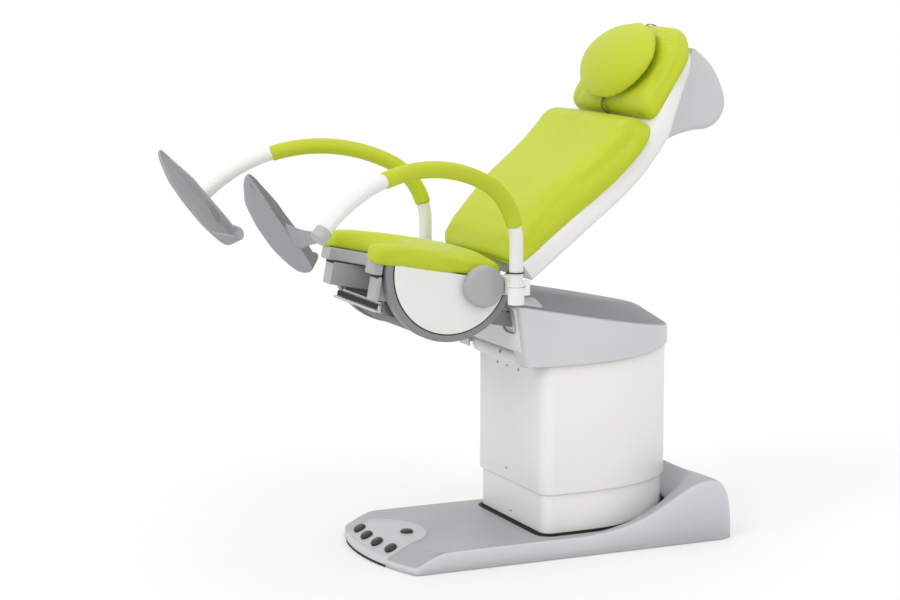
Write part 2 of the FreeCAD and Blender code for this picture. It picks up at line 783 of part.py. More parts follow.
lipSpot = lambda reach, height: Vector(-size.columnFront - reach, -size.lipHalfWidth, height)
lipMiddle = 0.5 * (size.lipLevel + size.lipFoot)
lipProfile = face([arc(lipSpot(size.lipReach * 0.7, size.lipLevel), lipSpot(size.lipReach, lipMiddle + 4),
                       lipSpot(0.3, size.lipFoot)),
                   line(lipSpot(0.3, size.lipFoot), lipSpot(0.3, size.lipLevel)),
                   line(lipSpot(0.3, size.lipLevel), lipSpot(size.lipReach * 0.7, size.lipLevel))])
lipBody = lipProfile.extrude(Vector(0, 2 * size.lipHalfWidth, 0))
lipHole = Part.makeCylinder(7, size.lipReach * 2,
                            Vector(-size.columnFront - 2 * size.lipReach, -34, lipMiddle + 4), Vector(1, 0, 0))
solid("front_lip", lipBody.cut(lipHole))

plateX = -size.headFront + 14
plateTop = size.edgeLevel + 0.45 * size.headCrown
slotPlate = Part.makeBox(size.slotPlateLength, size.slotPlateWidth, 60,
                         Vector(plateX, -size.headHalfWidth + 14, plateTop - 50))
raised = headForm(0, True)
raised.translate(Vector(0, 0, size.slotPlateThickness))
slotPlate = slotPlate.common(raised).cut(headForm(0, True))
solid("slot_plate", slotPlate)


# Seat

def halfDisc(label, radius, top):
    # A half disc standing on edge, its flat side up, with a bore for the leg support's pin.
    spot = lambda x, z: Vector(x, -size.sideFace, z)
    chord = math.sqrt(radius ** 2 - top ** 2)
    outline = face([arc(spot(-chord, -top), spot(0, -radius), spot(chord, -top)),
                    line(spot(chord, -top), spot(-chord, -top))])
    disc = outline.extrude(Vector(0, size.sidePanelThickness, 0))
    bore = Part.makeCylinder(size.legPinRadius + 0.02, 40,
                             Vector(size.legPivotX, -size.sideFace - 10, -size.legPivotDrop), Vector(0, 1, 0))
    return solid(label, tiltedShape(disc.cut(bore)))


rightPanel = halfDisc("side_panel_right", size.panelRadius, size.rimTop)
node(mirrored("side_panel_left", rightPanel), "side_panel_left")

rimBody = doc.addObject("PartDesign::Body", "side_rim_right")
rimProfile = sketch(rimBody, "XY_Plane", "rim_profile", [
    ("-rimRadius", "-(sidePlateInner + sidePlateThickness + restGap)"),
    ("-rimRadius", "-(sideFace - rimStep - 6)"),
    ("-(rimRadius - 6)", "-(sideFace - rimStep)"),
    ("-(panelRadius + panelReveal)", "-(sideFace - rimStep)"),
    ("-(panelRadius + panelReveal)", "-(sidePlateInner + sidePlateThickness + restGap)")])
turned(rimBody, rimProfile, "rim_turn", "180", back=True)
tilted(rimBody)
node(rimBody, "side_rim_right")
node(mirrored("side_rim_left", rimBody), "side_rim_left")

drumHalf = size.sidePlateInner + size.sidePlateThickness + size.restGap
drumOuter = size.rimRadius - 4


def drumArc(radius):
    turn = [math.radians(angle) for angle in
            (size.drumStart, 0.5 * (size.drumStart + size.drumEnd), size.drumEnd)]
    return [Vector(radius * math.cos(angle), -drumHalf, radius * math.sin(angle)) for angle in turn]


outerArc, innerArc = drumArc(drumOuter), drumArc(drumOuter - size.drumWall)
drum = face([arc(*outerArc), line(outerArc[2], innerArc[2]), arc(*innerArc), line(innerArc[0], outerArc[0])])
solid("drum_shell", tiltedShape(drum.extrude(Vector(0, 2 * drumHalf, 0))))


def steppedPlan(front, rear, inner, depth):
    # Plan of the seat's front: a wide nose in front of the rims, then narrower, with the cut-out.
    nose = front + size.rimNose
    wide, narrow = size.rimFrontHalf, size.rimHalf
    points = [(front, -wide), (nose, -wide), (nose, -narrow), (rear, -narrow), (rear, narrow), (nose, narrow),
              (nose, wide), (front, wide)]
    plan = polygon([Vector(x, y, 0) for x, y in points])
    end = front + depth
    straight = end - inner
    spot = lambda x, y: Vector(x, y, 0)
    notch = face([line(spot(front - 1, -inner), spot(straight, -inner)),
                  arc(spot(straight, -inner), spot(end, 0), spot(straight, inner)),
                  line(spot(straight, inner), spot(front - 1, inner)),
                  line(spot(front - 1, inner), spot(front - 1, -inner))])
    return plan, notch


rimPlan, rimNotch = steppedPlan(-size.rimFront, size.rimRearX, size.cutoutHalf, size.cutoutDepth)
seatRim = rimPlan.cut(rimNotch)
seatRim.translate(Vector(0, 0, -size.rimTop - size.rimHeight))
solid("seat_rim", tiltedShape(seatRim.extrude(Vector(0, 0, size.rimHeight))))

blockTop = "-(rimTop + rimHeight + blockGap)"
blockBottom = "-(rimTop + rimHeight + blockGap + blockHeight)"
blockFront = "-(rimFront - blockSetback)"
blockNose = box("block_nose", (blockFront, "-(rimFront - rimNose)"), ("-rimFrontHalf", "-cutoutHalf"),
                (blockBottom, blockTop))
blockRear = box("block_rear", ("-(rimFront - rimNose)", "-(rimFront - blockSetback - blockLength)"),
                ("-rimHalf", "-cutoutHalf"), (blockBottom, blockTop))
blockStud = rod("block_stud", "Z", "12", blockTop, "-(rimTop + rimHeight)",
                ("-(rimFront - blockLength * 0.7)", "-(cutoutHalf + rimHalf) / 2"))
rightBlock = tilted(join("front_block_right", [blockNose, blockRear, blockStud]))
node(rightBlock, "front_block_right")
node(mirrored("front_block_left", rightBlock), "front_block_left")

# Seat frame: a top plate, two side plates with the leg pins, two tilt arms and the hinge lugs

armSpan = "(seatSetback * cos(seatTilt) + seatHeight * sin(seatTilt))"
armDrop = "(seatSetback * sin(seatTilt) - seatHeight * cos(seatTilt))"
topPlate = box("seat_top_plate", ("sidePlateFront", "hingeX - 30"),
               ("-sidePlateInner - sidePlateThickness", "sidePlateInner + sidePlateThickness"),
               ("-rimTop - 6", "-rimTop"))
sidePlate = box("seat_side_plate", ("sidePlateFront", "sidePlateRear"),
                ("-sidePlateInner - sidePlateThickness", "-sidePlateInner"),
                (f"{armDrop} - tiltArmHeight / 2", "-rimTop"))
tiltArm = box("tilt_arm", ("sidePlateRear - 30", armSpan),
              ("-tiltArmY - tiltArmHalf", "-tiltArmY + tiltArmHalf"),
              (f"{armDrop} - tiltArmHeight / 2", f"{armDrop} + tiltArmHeight / 2"))
tiltEye = rod("tilt_eye", "Y", "tiltArmHeight / 2", "-tiltArmY - tiltArmHalf", "-tiltArmY + tiltArmHalf",
              (armSpan, armDrop))
legPin = rod("leg_pin", "Y", "legPinRadius", "-legPinEnd", "-sidePlateInner - sidePlateThickness",
             ("legPivotX", "-legPivotDrop"))
frameSide = join("seat_frame_side", [sidePlate, tiltArm, tiltEye, legPin])
tiltBore = rod("tilt_bore", "Y", "tiltShaftRadius + runningGap", "-sideFace", "sideFace", (armSpan, armDrop))
hingeBore = rod("hinge_bore", "Y", "hingeShaftRadius + 0.02", "-sideFace", "sideFace", ("hingeX", "-hingeDrop"))
seatFrame = join("seat_frame_body", [topPlate, frameSide, mirrored("seat_frame_other", frameSide)])
node(tilted(carve("seat_frame", seatFrame, [tiltBore, hingeBore])), "seat_frame")
hingeShaft = rod("back_hinge_shaft", "Y", "hingeShaftRadius", "-sidePlateInner - sidePlateThickness",
                 "sidePlateInner + sidePlateThickness", ("0", "0"))
bind(hingeShaft, {"Placement.Base.x": "backHingeX", "Placement.Base.z": "backHingeLevel"})
node(hingeShaft, "back_hinge_shaft")

railInner = "trayHalf + trayGap"
railRun = ("-(trayNose - trayFrontThickness - 4)", "-(rimFront - blockSetback - blockLength)")
rail = box("tray_rail", railRun,
           (f"-({railInner} + railThickness)", f"-({railInner})"),
           ("-(trayDrop + trayDepth + trayGap + railThickness)", blockBottom))
railFoot = box("tray_rail_foot", railRun,
               (f"-({railInner} + railThickness)", f"-({railInner} - 6)"),
               ("-(trayDrop + trayDepth + trayGap + railThickness)", "-(trayDrop + trayDepth + trayGap)"))
railRight = join("tray_rail_right", [rail, railFoot])
railPair = doc.addObject("Part::Compound", "tray_rails")
railPair.Links = [railRight, mirrored("tray_rail_left", railRight)]
node(tilted(railPair), "tray_rails")


def padSection(place, half, edge, crown, bulge):
    # One slice of a cushion: flat under it, sides that swell a little, a crowned top.
    # place maps (side, up) to a point of the slice.
    inner = half - min(bulge, half * 0.3)
    corner = [place(-inner, 0), place(inner, 0), place(inner, edge), place(-inner, edge)]
    return Part.Wire([line(corner[0], corner[1]),
                      arc(corner[1], place(half, 0.5 * edge), corner[2]),
                      arc(corner[2], place(0, edge + crown), corner[3]),
                      arc(corner[3], place(-half, 0.5 * edge), corner[0])])


def padLoft(sections):
    return Part.makeLoft(sections, True, False)


def easing(fraction):
    # Height of a pad's rounded end, from 0 at its tip to 1 where the pad is full.
    return math.sqrt(1 - (1 - fraction) ** 2)


def seatPlan(inset, height):
    # Plan of the seat cushion: a U, open to the front, with rounded noses and rear corners.
    front, rear, half = inset - size.cushionFront, size.cushionRear - inset, size.cushionHalf - inset
    inner = size.cutoutHalf - size.cushionLap + inset
    end = -size.cushionFront + size.cutoutDepth + inset
    bay = end - inner
    nose, heel = size.noseRound - inset, size.heelRound - inset
    spot = lambda x, y: Vector(x, y, height)
    corners = [(front, half, nose), (front, inner, nose), (bay, inner, 0), (bay, -inner, 0), (front, -inner, nose),
               (front, -half, nose), (rear, -half, heel), (rear, half, heel)]
    chain = []
    for index, (x, y, radius) in enumerate(corners):
        if radius == 0 and y > 0:
            chain += [spot(x, y), (spot(end, 0), spot(x, -y))]
        elif radius > 0:
            before, after = corners[index - 1], corners[(index + 1) % len(corners)]
            first, middle, last = roundCorner(spot(x, y), spot(*before[:2]), spot(*after[:2]), radius)
            chain += [first, (middle, last)]
    return bent(chain).OuterWire


def seatPad():
    # Sides that swell and then draw in, cut to a crown across and a roll down at the rear.
    front, rear, half = -size.cushionFront, size.cushionRear, size.cushionHalf
    high = size.cushionThickness + size.cushionCrown
    swell = [(0.0, 0.4), (0.3, 0.0), (0.6, 0.1), (0.8, 0.45), (0.92, 0.9), (1.1, 2.0)]
    slices = [seatPlan(size.cushionRound * draw, size.cushionClear + high * rise) for rise, draw in swell]
    pad = Part.makeLoft(slices, True, True)
    spot = lambda x, z: Vector(x, -half - 1, z)
    side = bent([spot(front - 1, 0), spot(rear + 1, 0), spot(rear + 1, 0.38 * high),
                 (spot(rear - 18, 0.74 * high), spot(rear - 62, 0.93 * high)),
                 (spot(-40, high), spot(front - 1, 0.8 * high))])
    cross = lambda y, z: Vector(front - 1, y, z)
    crown = bent([cross(-half - 1, 0), cross(half + 1, 0), cross(half + 1, high - size.cushionCrown),
                  (cross(0, high), cross(-half - 1, high - size.cushionCrown))])
    pad = pad.common(side.extrude(Vector(0, 2 * half + 2, 0)))
    return pad.common(crown.extrude(Vector(rear - front + 2, 0, 0)))


solid("seat_cushion", tiltedShape(seatPad()))

# Tray

panOuter = box("pan_outer", ("-(trayNose - trayFrontThickness)", "trayRear"), ("-trayHalf", "trayHalf"),
               ("-(trayDrop + trayDepth)", "-trayDrop"))
panInner = box("pan_inner", ("-(trayNose - trayFrontThickness) + trayWall", "trayRear - trayWall"),
               ("-trayHalf + trayWall", "trayHalf - trayWall"), ("-(trayDrop + trayDepth) + trayWall", "0"))
node(tilted(carve("tray_pan", panOuter, [panInner])), "tray_pan")
trayFront = box("tray_front_bar", ("-trayNose", "-(trayNose - trayFrontThickness)"),
                ("-trayFrontHalf", "trayFrontHalf"), ("-(trayDrop + trayDepth + 4)", "-(trayDrop + 6)"))
trayLip = box("tray_front_lip", ("-trayNose - 10", "-trayNose"), ("-trayFrontHalf", "trayFrontHalf"),
              ("-(trayDrop + trayDepth + 4)", "-(trayDrop + trayDepth - 4)"))
node(tilted(join("tray_front", [trayFront, trayLip])), "tray_front")


# Backrest

def backStation(along, offset):
    # A point of the backrest's profile: along the parting line, then offset behind it, with the
    # direction of the profile there.
    start = Vector(size.backHingeX + size.backStartX, 0, size.backHingeLevel + size.backStartZ)
    bend = math.radians(size.backBend) * size.backBendRadius
    angle = math.radians(size.backAngle)
    run = min(along, size.backRun)
    spot = start + Vector(math.cos(angle), 0, math.sin(angle)) * run
    if along > size.backRun:
        turn = min(along - size.backRun, bend) / size.backBendRadius
        centre = spot + Vector(-math.sin(angle), 0, math.cos(angle)) * size.backBendRadius
        angle += turn
        spot = centre + Vector(math.sin(angle), 0, -math.cos(angle)) * size.backBendRadius
    if along > size.backRun + bend:
        spot = spot + Vector(math.cos(angle), 0, math.sin(angle)) * (along - size.backRun - bend)
    ahead = Vector(math.cos(angle), 0, math.sin(angle))
    behind = Vector(math.sin(angle), 0, -math.cos(angle))
    return spot + behind * offset, ahead, behind


bendLength = math.radians(size.backBend) * size.backBendRadius
bendEnd = size.backRun + bendLength
backLength = bendEnd + size.headRun


def backEdges(offset, start, end, topOffset=None):
    # The profile at one offset behind the parting line, as a straight run, an arc and a straight run.
    at = lambda along, depth: backStation(along, depth)[0]
    last = offset if topOffset is None else topOffset
    return [line(at(start, offset), at(size.backRun, offset)),
            arc(at(size.backRun, offset), at(size.backRun + 0.5 * bendLength, offset), at(bendEnd, offset)),
            line(at(bendEnd, offset), at(end, last))]


def backBand(near, far, start, end, farTop, nearTop=None):
    # The band of the profile between two offsets, as a face in the middle plane.
    inner, outer = backEdges(near, start, end, nearTop), backEdges(far, start, end, farTop)
    ends = [line(inner[0].Vertexes[0].Point, outer[0].Vertexes[0].Point),
            line(inner[-1].Vertexes[-1].Point, outer[-1].Vertexes[-1].Point)]
    return face(inner + outer + ends)


def acrossChair(flat, half):
    flat = flat.copy()
    flat.translate(Vector(0, -half, 0))
    return flat.extrude(Vector(0, 2 * half, 0))


def backFront(inset):
    # Front view of the shell: straight sides, drawn in at the head end, with round top corners.
    half, topHalf = size.shellHalf - inset, size.shellTopHalf - inset
    top = backStation(backLength, 0)[0].z - inset
    bend = backStation(bendEnd, 0)[0].z
    radius = size.shellCornerRadius
    foot = backStation(0, 0)[0]
    spot = lambda y, z: Vector(foot.x - backLength, y, z)
    slant = radius * (1 - math.sqrt(0.5))
    low = foot.z - backLength
    edges = [line(spot(-half, low), spot(half, low)), line(spot(half, low), spot(half, bend)),
             line(spot(half, bend), spot(topHalf, top - radius)),
             arc(spot(topHalf, top - radius), spot(topHalf - slant, top - slant), spot(topHalf - radius, top)),
             line(spot(topHalf - radius, top), spot(radius - topHalf, top)),
             arc(spot(radius - topHalf, top), spot(slant - topHalf, top - slant), spot(-topHalf, top - radius)),
             line(spot(-topHalf, top - radius), spot(-half, bend)), line(spot(-half, bend), spot(-half, low))]
    return face(edges).extrude(Vector(3 * backLength, 0, 0))


shellStart = 8.0
shellOuter = acrossChair(backBand(0, size.shellDepth, shellStart, backLength, size.shellTopDepth),
                         size.shellHalf).common(backFront(0))
wall = size.shellWall
shellInner = acrossChair(backBand(-1, size.shellDepth - wall, shellStart + wall, backLength - wall,
                                  size.shellTopDepth - wall, -1), size.shellHalf - wall).common(backFront(wall))
backShell = shellOuter.cut(shellInner)
barOffset = size.shellDepth - size.shellWall - size.restGap - size.barHeight / 2


def shellDepthAt(along):
    # Depth of the shell behind the parting line, which thins out towards the head end.
    share = max(along - bendEnd, 0) / size.headRun
    return size.shellDepth + (size.shellTopDepth - size.shellDepth) * share


def barSolid(side):
    # One side bar of the back frame, from its hinge eye up along the profile.
    start, ahead, behind = backStation(0, barOffset)
    hinge = Vector(size.backHingeX, 0, size.backHingeLevel)
    along = (hinge - start).dot(ahead)
    half = size.barHeight / 2
    end = bendEnd + size.barHeadRun
    far = shellDepthAt(end) - size.shellWall - size.restGap
    band = backBand(barOffset - half, barOffset + half, along, end, far, far - size.barHeight * 0.7)
    bar = band.copy()
    bar.translate(Vector(0, side * size.barY - size.barWidth / 2, 0))
    bar = bar.extrude(Vector(0, size.barWidth, 0))
    eye = Part.makeCylinder(size.hingeShaftRadius + 9, size.barWidth,
                            hinge + Vector(0, side * size.barY - size.barWidth / 2, 0), Vector(0, 1, 0))
    bore = Part.makeCylinder(size.hingeShaftRadius + size.runningGap, size.barWidth + 2,
                             hinge + Vector(0, side * size.barY - size.barWidth / 2 - 1, 0), Vector(0, 1, 0))
    return bar.fuse(eye).cut(bore)


bars = [barSolid(side) for side in (-1, 1)]
crossBars = []
for along in (70, 250, bendEnd + 10):
    spot, ahead, behind = backStation(along, barOffset - 2)
    cross = Part.makeCylinder(7, 2 * size.barY, spot - Vector(0, size.barY, 0), Vector(0, 1, 0))
    crossBars.append(cross)
solid("back_frame", bars[0].fuse([bars[1]] + crossBars).removeSplitter())
gateReach = size.barHeight / 2 + 11
hingeClear = size.barWidth / 2 + 2
gates = []
for side in (-1, 1):
    spot, ahead, behind = backStation(shellStart, barOffset)
    low = spot - ahead * 20 - behind * gateReach
    deep = behind * 2 * gateReach
    gate = polygon([low, low + deep, low + deep + ahead * 44, low + ahead * 44])
    gate.translate(Vector(0, side * size.barY - hingeClear, 0))
    gates.append(gate.extrude(Vector(0, 2 * hingeClear, 0)))
solid("back_shell", backShell.cut(gates[0]).cut(gates[1]))


def backSlice(along, half, edge, crown):
    spot, ahead, behind = backStation(along, -size.cushionClear)
    place = lambda side, up: spot + Vector(0, side, 0) - behind * up
    return padSection(place, half, edge, crown, size.padBulge)


def padStations(start, end, half, foot, startRound, endRound):
    # Stations along a pad: its half width and its share of full height, rounded at both ends.
    stations = []
    for share in (0.04, 0.16, 0.4, 0.7, 1.0):
        stations.append((start + startRound * share, foot - startRound * (1 - easing(share)), share))
    middle = 0.5 * (start + startRound + end - endRound)
    stations.append((middle, 0.35 * foot + 0.65 * half, 1.0))
    for share in (1.0, 0.7, 0.45, 0.28, 0.16, 0.08, 0.03):
        stations.append((end - endRound * share, half - endRound * (1 - easing(share)), share))
    return stations


def backPad(start, end, half, foot, startRound, endRound, edge, crown):
    slices = []
    for along, width, share in padStations(start, end, half, foot, startRound, endRound):
        nearest = min(along - start, end - along)
        full = easing(min(0.12 + nearest / size.padNose, 1.0))
        slices.append(backSlice(along, width, edge * full, crown * full))
    return padLoft(slices)


gapAlong = bendEnd + 4
headStart = gapAlong + size.headGap
headEnd = backLength + size.headPadLap
padHalf, padFoot = size.shellHalf + size.backPadHalf, size.shellHalf - size.backPadFoot
solid("back_cushion", backPad(6, gapAlong, padHalf, padFoot, 40, size.backPadShoulder, size.backPadEdge,
                              size.backPadCrown))
headHalf = size.shellTopHalf + size.headPadHalf
solid("head_cushion", backPad(headStart, headEnd, headHalf, headHalf - 4, 30, size.headPadCorner,
                              size.headPadEdge, size.headPadCrown))

# Rear cover: a rounded housing behind the head end, open towards the shell


def rearFace(inset):
    # Side view: straight up from the shell, round the belly, and over to the head end.
    reach = size.rearCoverReach - inset
    spot = lambda share, depth: backStation(bendEnd + share * size.headRun, size.shellDepth + depth * reach)[0]
    low, ahead, behind = backStation(bendEnd - 41 + inset, size.shellDepth)
    top = backLength - 4 - inset
    high = backStation(top, shellDepthAt(top))[0]
    tip = backStation(top, shellDepthAt(top) + 0.22 * reach)[0]
    lower, upper = spot(0.3, 0.72), spot(0.79, 0.78)
    return face([line(low, lower), arc(lower, spot(0.55, 1.0), upper), arc(upper, spot(0.93, 0.4), tip),
                 line(tip, high), line(high, low)])


rearBlock = acrossChair(rearFace(0), size.rearCoverHalf)
rearHollow = acrossChair(rearFace(size.rearCoverWall + 2), size.rearCoverHalf - size.rearCoverWall)
shellBand = acrossChair(backBand(-1, size.shellDepth + size.restGap, 0, backLength,
                                 size.shellTopDepth + size.restGap), size.shellHalf)
solid("rear_cover", rearBlock.cut(rearHollow).cut(shellBand))

# Head pillow and the elastic cord that holds it

padTop = size.headPadEdge + size.headPadCrown + size.cushionClear
pillowBase = padTop + size.pillowSlot
pillowSpot, pillowAhead, pillowBehind = backStation(bendEnd + size.pillowAlong, -pillowBase)


def pillowSlice(side):
    shrink = math.sqrt(1 - (side / size.pillowHalf) ** 2)
    reach = size.pillowLength * shrink
    height = size.pillowHeight * shrink
    under = 10 * shrink
    at = lambda along, up: pillowSpot + Vector(0, side, 0) + pillowAhead * along - pillowBehind * up
    rim = 10 + size.restGap
    return Part.Wire([arc(at(-reach, rim), at(0, rim - under), at(reach, rim)),
                      arc(at(reach, rim), at(0, rim + height * 0.8), at(-reach, rim))])


pillowSides = [size.pillowHalf * share for share in (-0.985, -0.86, -0.55, 0.0, 0.55, 0.86, 0.985)]
solid("head_pillow", padLoft([pillowSlice(side) for side in pillowSides]))

cordClear = size.cordRadius + 4
cordSpots = [backStation(headStart - 0.5 * size.headGap, 0.0)[0],
             backStation(headStart - 0.5 * size.headGap, -padTop + 8)[0],
             backStation(headStart + 12, -padTop - cordClear)[0],
             backStation(headEnd - 20, -padTop - cordClear)[0],
             backStation(headEnd + cordClear, -padTop + 22)[0],
             backStation(headEnd + cordClear, 0.2 * size.shellTopDepth)[0],
             backStation(backLength + size.restGap, 0.5 * size.shellTopDepth)[0]]
cordEdges = [line(first, second) for first, second in zip(cordSpots, cordSpots[1:])]
cordPath = Part.Wire(cordEdges)
cordRing = Part.Wire([Part.makeCircle(size.cordRadius, cordSpots[0], cordSpots[1] - cordSpots[0])])
cordSolid = cordPath.makePipeShell([cordRing], True, True, 2)
solid("pillow_cord", cordSolid)


# Leg supports

legX, legZ = size.legX, size.legLevel
hubFace = size.sideFace + size.faceGap
bracketFace = hubFace + size.bracketThickness

capBody = doc.addObject("PartDesign::Body", "pivot_cap_right")
capProfile = sketch(capBody, "XY_Plane", "cap_profile", [
    ("legPinRadius + runningGap", "0"),
    ("capRadius", "0"),
    ("capRadius", "capDepth - capRound", "capRound"),
    ("capRadius - capRound", "capDepth", "((capRadius - capRound) ^ 2 + capDome ^ 2) / (2 * capDome)"),
    ("0", "capDepth + capDome"),
    ("0", "legPinEnd - sideFace - faceGap - bracketThickness + 0.5"),
    ("legPinRadius + runningGap", "legPinEnd - sideFace - faceGap - bracketThickness + 0.5")])
turned(capBody, capProfile, "cap_turn", "360")
capBody.Placement = Placement(Vector(legX, -bracketFace, legZ), Rotation(Vector(1, 0, 0), 180))
node(capBody, "pivot_cap_right")
node(mirrored("pivot_cap_left", capBody), "pivot_cap_left")


def legBracket():
    # Hub plate on the pin, an arm to the rear, and the split clamp that holds the post.
    hub = Part.makeCylinder(size.hubRadius, size.bracketThickness, Vector(legX, -bracketFace, legZ),
                            Vector(0, 1, 0))
    half = size.clampHalf
    armLow, armHigh = size.clampFoot + 14, size.splitLevel + 20
    arm = Part.makeBox(size.postAxisX + half - legX, size.bracketThickness, armHigh - armLow,
                       Vector(legX, -bracketFace, armLow))
    stubFront = legX + size.capRadius + size.faceGap
    stub = Part.makeBox(size.postAxisX + half - stubFront, size.postAxisY - hubFace, armHigh - armLow - 8,
                        Vector(stubFront, -size.postAxisY, armLow + 4))
    clampHeight = size.clampHead - size.clampFoot
    clamp = Part.makeCylinder(half, clampHeight, Vector(size.postAxisX, -size.postAxisY, size.clampFoot))
    slit = Part.makeBox(2 * half + 2, 2 * half - 8, size.clampSlit,
                        Vector(size.postAxisX - half - 1, -size.postAxisY - half - 1,
                               size.splitLevel - size.clampSlit / 2))
    stop = Part.makeBox(half + 14, 22, 40, Vector(size.postAxisX, -size.postAxisY - 11, size.splitLevel - 24))
    bracket = hub.fuse([arm, stub, clamp, stop]).cut(slit)
    pinBore = Part.makeCylinder(size.legPinRadius + size.runningGap, 100, Vector(legX, -bracketFace - 50, legZ),
                                Vector(0, 1, 0))
    postBore = Part.makeCylinder(size.armRadius + size.runningGap, 2 * clampHeight,
                                 Vector(size.postAxisX, -size.postAxisY, size.clampFoot + size.clampFloor))
    return bracket.cut(pinBore).cut(postBore).removeSplitter()


rightBracket = solid("leg_bracket_right", legBracket())
node(mirrored("leg_bracket_left", rightBracket), "leg_bracket_left")

splay = math.radians(size.armSplay)
armHeading = Vector(-math.cos(splay), -math.sin(splay), 0)


def armSpot(forward, height):
    return Vector(size.postAxisX, -size.postAxisY, 0) + armHeading * forward + Vector(0, 0, height)


def kneeSpot(turn):
    # A point of the bend above the post.
    angle = math.radians(turn)
    return armSpot(size.kneeRadius * (1 - math.cos(angle)), size.kneeLevel + size.kneeRadius * math.sin(angle))


def archSpot(turn):
    # A point of the long arch after the bend, with the heading there.
    first = math.radians(size.kneeTurn)
    angle = math.radians(size.kneeTurn + turn)
    forward = (size.kneeRadius * (1 - math.cos(first))
               + size.archRadius * (math.cos(first) - math.cos(angle)))
    height = (size.kneeLevel + size.kneeRadius * math.sin(first)
              + size.archRadius * (math.sin(angle) - math.sin(first)))
    heading = armHeading * math.sin(angle) + Vector(0, 0, math.cos(angle))
    return armSpot(forward, height), heading


archEnd, archHeading = archSpot(size.archTurn)
tubeEnd = archEnd + archHeading * size.collarLength
postFoot = armSpot(0, size.clampFoot + size.clampFloor + size.restGap)


def pipe(path, start, heading, radius):
    ring = Part.Wire([Part.makeCircle(radius, start, heading)])
    return Part.Wire(path).makePipeShell([ring], True, False)


armPath = [line(postFoot, armSpot(0, size.kneeLevel)),
           arc(armSpot(0, size.kneeLevel), kneeSpot(size.kneeTurn / 2), kneeSpot(size.kneeTurn)),
           arc(kneeSpot(size.kneeTurn), archSpot(size.archTurn / 2)[0], archEnd),
           line(archEnd, tubeEnd)]
upward = Vector(0, 0, 1)
armTube = pipe(armPath, postFoot, upward, size.armRadius).cut(
    pipe(armPath, postFoot, upward, size.armRadius - size.armWall))
rightTube = solid("arm_tube_right", armTube)
node(mirrored("arm_tube_left", rightTube), "arm_tube_left")

sleevePath = [arc(kneeSpot(size.sleeveStart), kneeSpot(0.5 * (size.sleeveStart + size.kneeTurn)),
                  kneeSpot(size.kneeTurn)),
              arc(kneeSpot(size.kneeTurn), archSpot(size.sleeveEnd / 2)[0], archSpot(size.sleeveEnd)[0])]
sleeveTurn = math.radians(size.sleeveStart)
sleeveHeading = armHeading * math.sin(sleeveTurn) + Vector(0, 0, math.cos(sleeveTurn))
sleeve = pipe(sleevePath, kneeSpot(size.sleeveStart), sleeveHeading, size.sleeveRadius).cut(
    pipe(sleevePath, kneeSpot(size.sleeveStart), sleeveHeading, size.armRadius + size.sleeveGap))
rightSleeve = solid("arm_sleeve_right", sleeve)
node(mirrored("arm_sleeve_left", rightSleeve), "arm_sleeve_left")

# Foot plates: a sole with a raised rim and a heel lip, on a curved socket

toe = Vector(-0.54, -0.22, 0.81).normalize()
outboard = Vector(0.683, -0.673, 0.277)
outboard = (outboard - toe * outboard.dot(toe)).normalize()
upFace = toe.cross(outboard)
soleMiddle = tubeEnd + Vector(-size.soleX, size.soleY, size.soleZ)


def soleSpot(along, side, up=0.0):
    return soleMiddle + toe * along + outboard * side + upFace * up


def solePlan(inset):
    # Sole outline: a round heel, a narrow round toe and bellied sides.
    heel, front = size.heelRadius - inset, size.toeRadius - inset
    back = -size.soleLength / 2 + size.heelRadius
    fore = size.soleLength / 2 - size.toeRadius
    belly = 0.5 * (heel + front) + size.soleBelly
    return face([arc(soleSpot(back, heel), soleSpot(back - heel, 0), soleSpot(back, -heel)),
                 arc(soleSpot(back, -heel), soleSpot(0.5 * (back + fore), -belly), soleSpot(fore, -front)),
                 arc(soleSpot(fore, -front), soleSpot(fore + front, 0), soleSpot(fore, front)),
                 arc(soleSpot(fore, front), soleSpot(0.5 * (back + fore), belly), soleSpot(back, heel))])


def footPlate():
    # A flat sole with a low rim and a wall that rises to the heel and to the outer side.
    sole = solePlan(0).extrude(upFace * size.soleThickness)
    edge = solePlan(0).cut(solePlan(size.soleRim))
    rim = edge.extrude(upFace * (size.soleThickness + size.soleRimHeight))
    reach = size.soleLength
    top = lambda along, side: soleSpot(along, side, size.soleThickness + size.heelLip * (0.5 - along / reach)
                                       + size.wallLean * side)
    below = polygon([top(-reach, -reach), top(reach, -reach), top(reach, reach), top(-reach, reach)])
    wall = edge.extrude(upFace * 3 * size.heelLip).common(below.extrude(upFace * -2 * reach))
    return sole.fuse([rim, wall]).removeSplitter()


plate = footPlate()
rightPlate = solid("foot_plate_right", plate)
node(mirrored("foot_plate_left", rightPlate), "foot_plate_left")


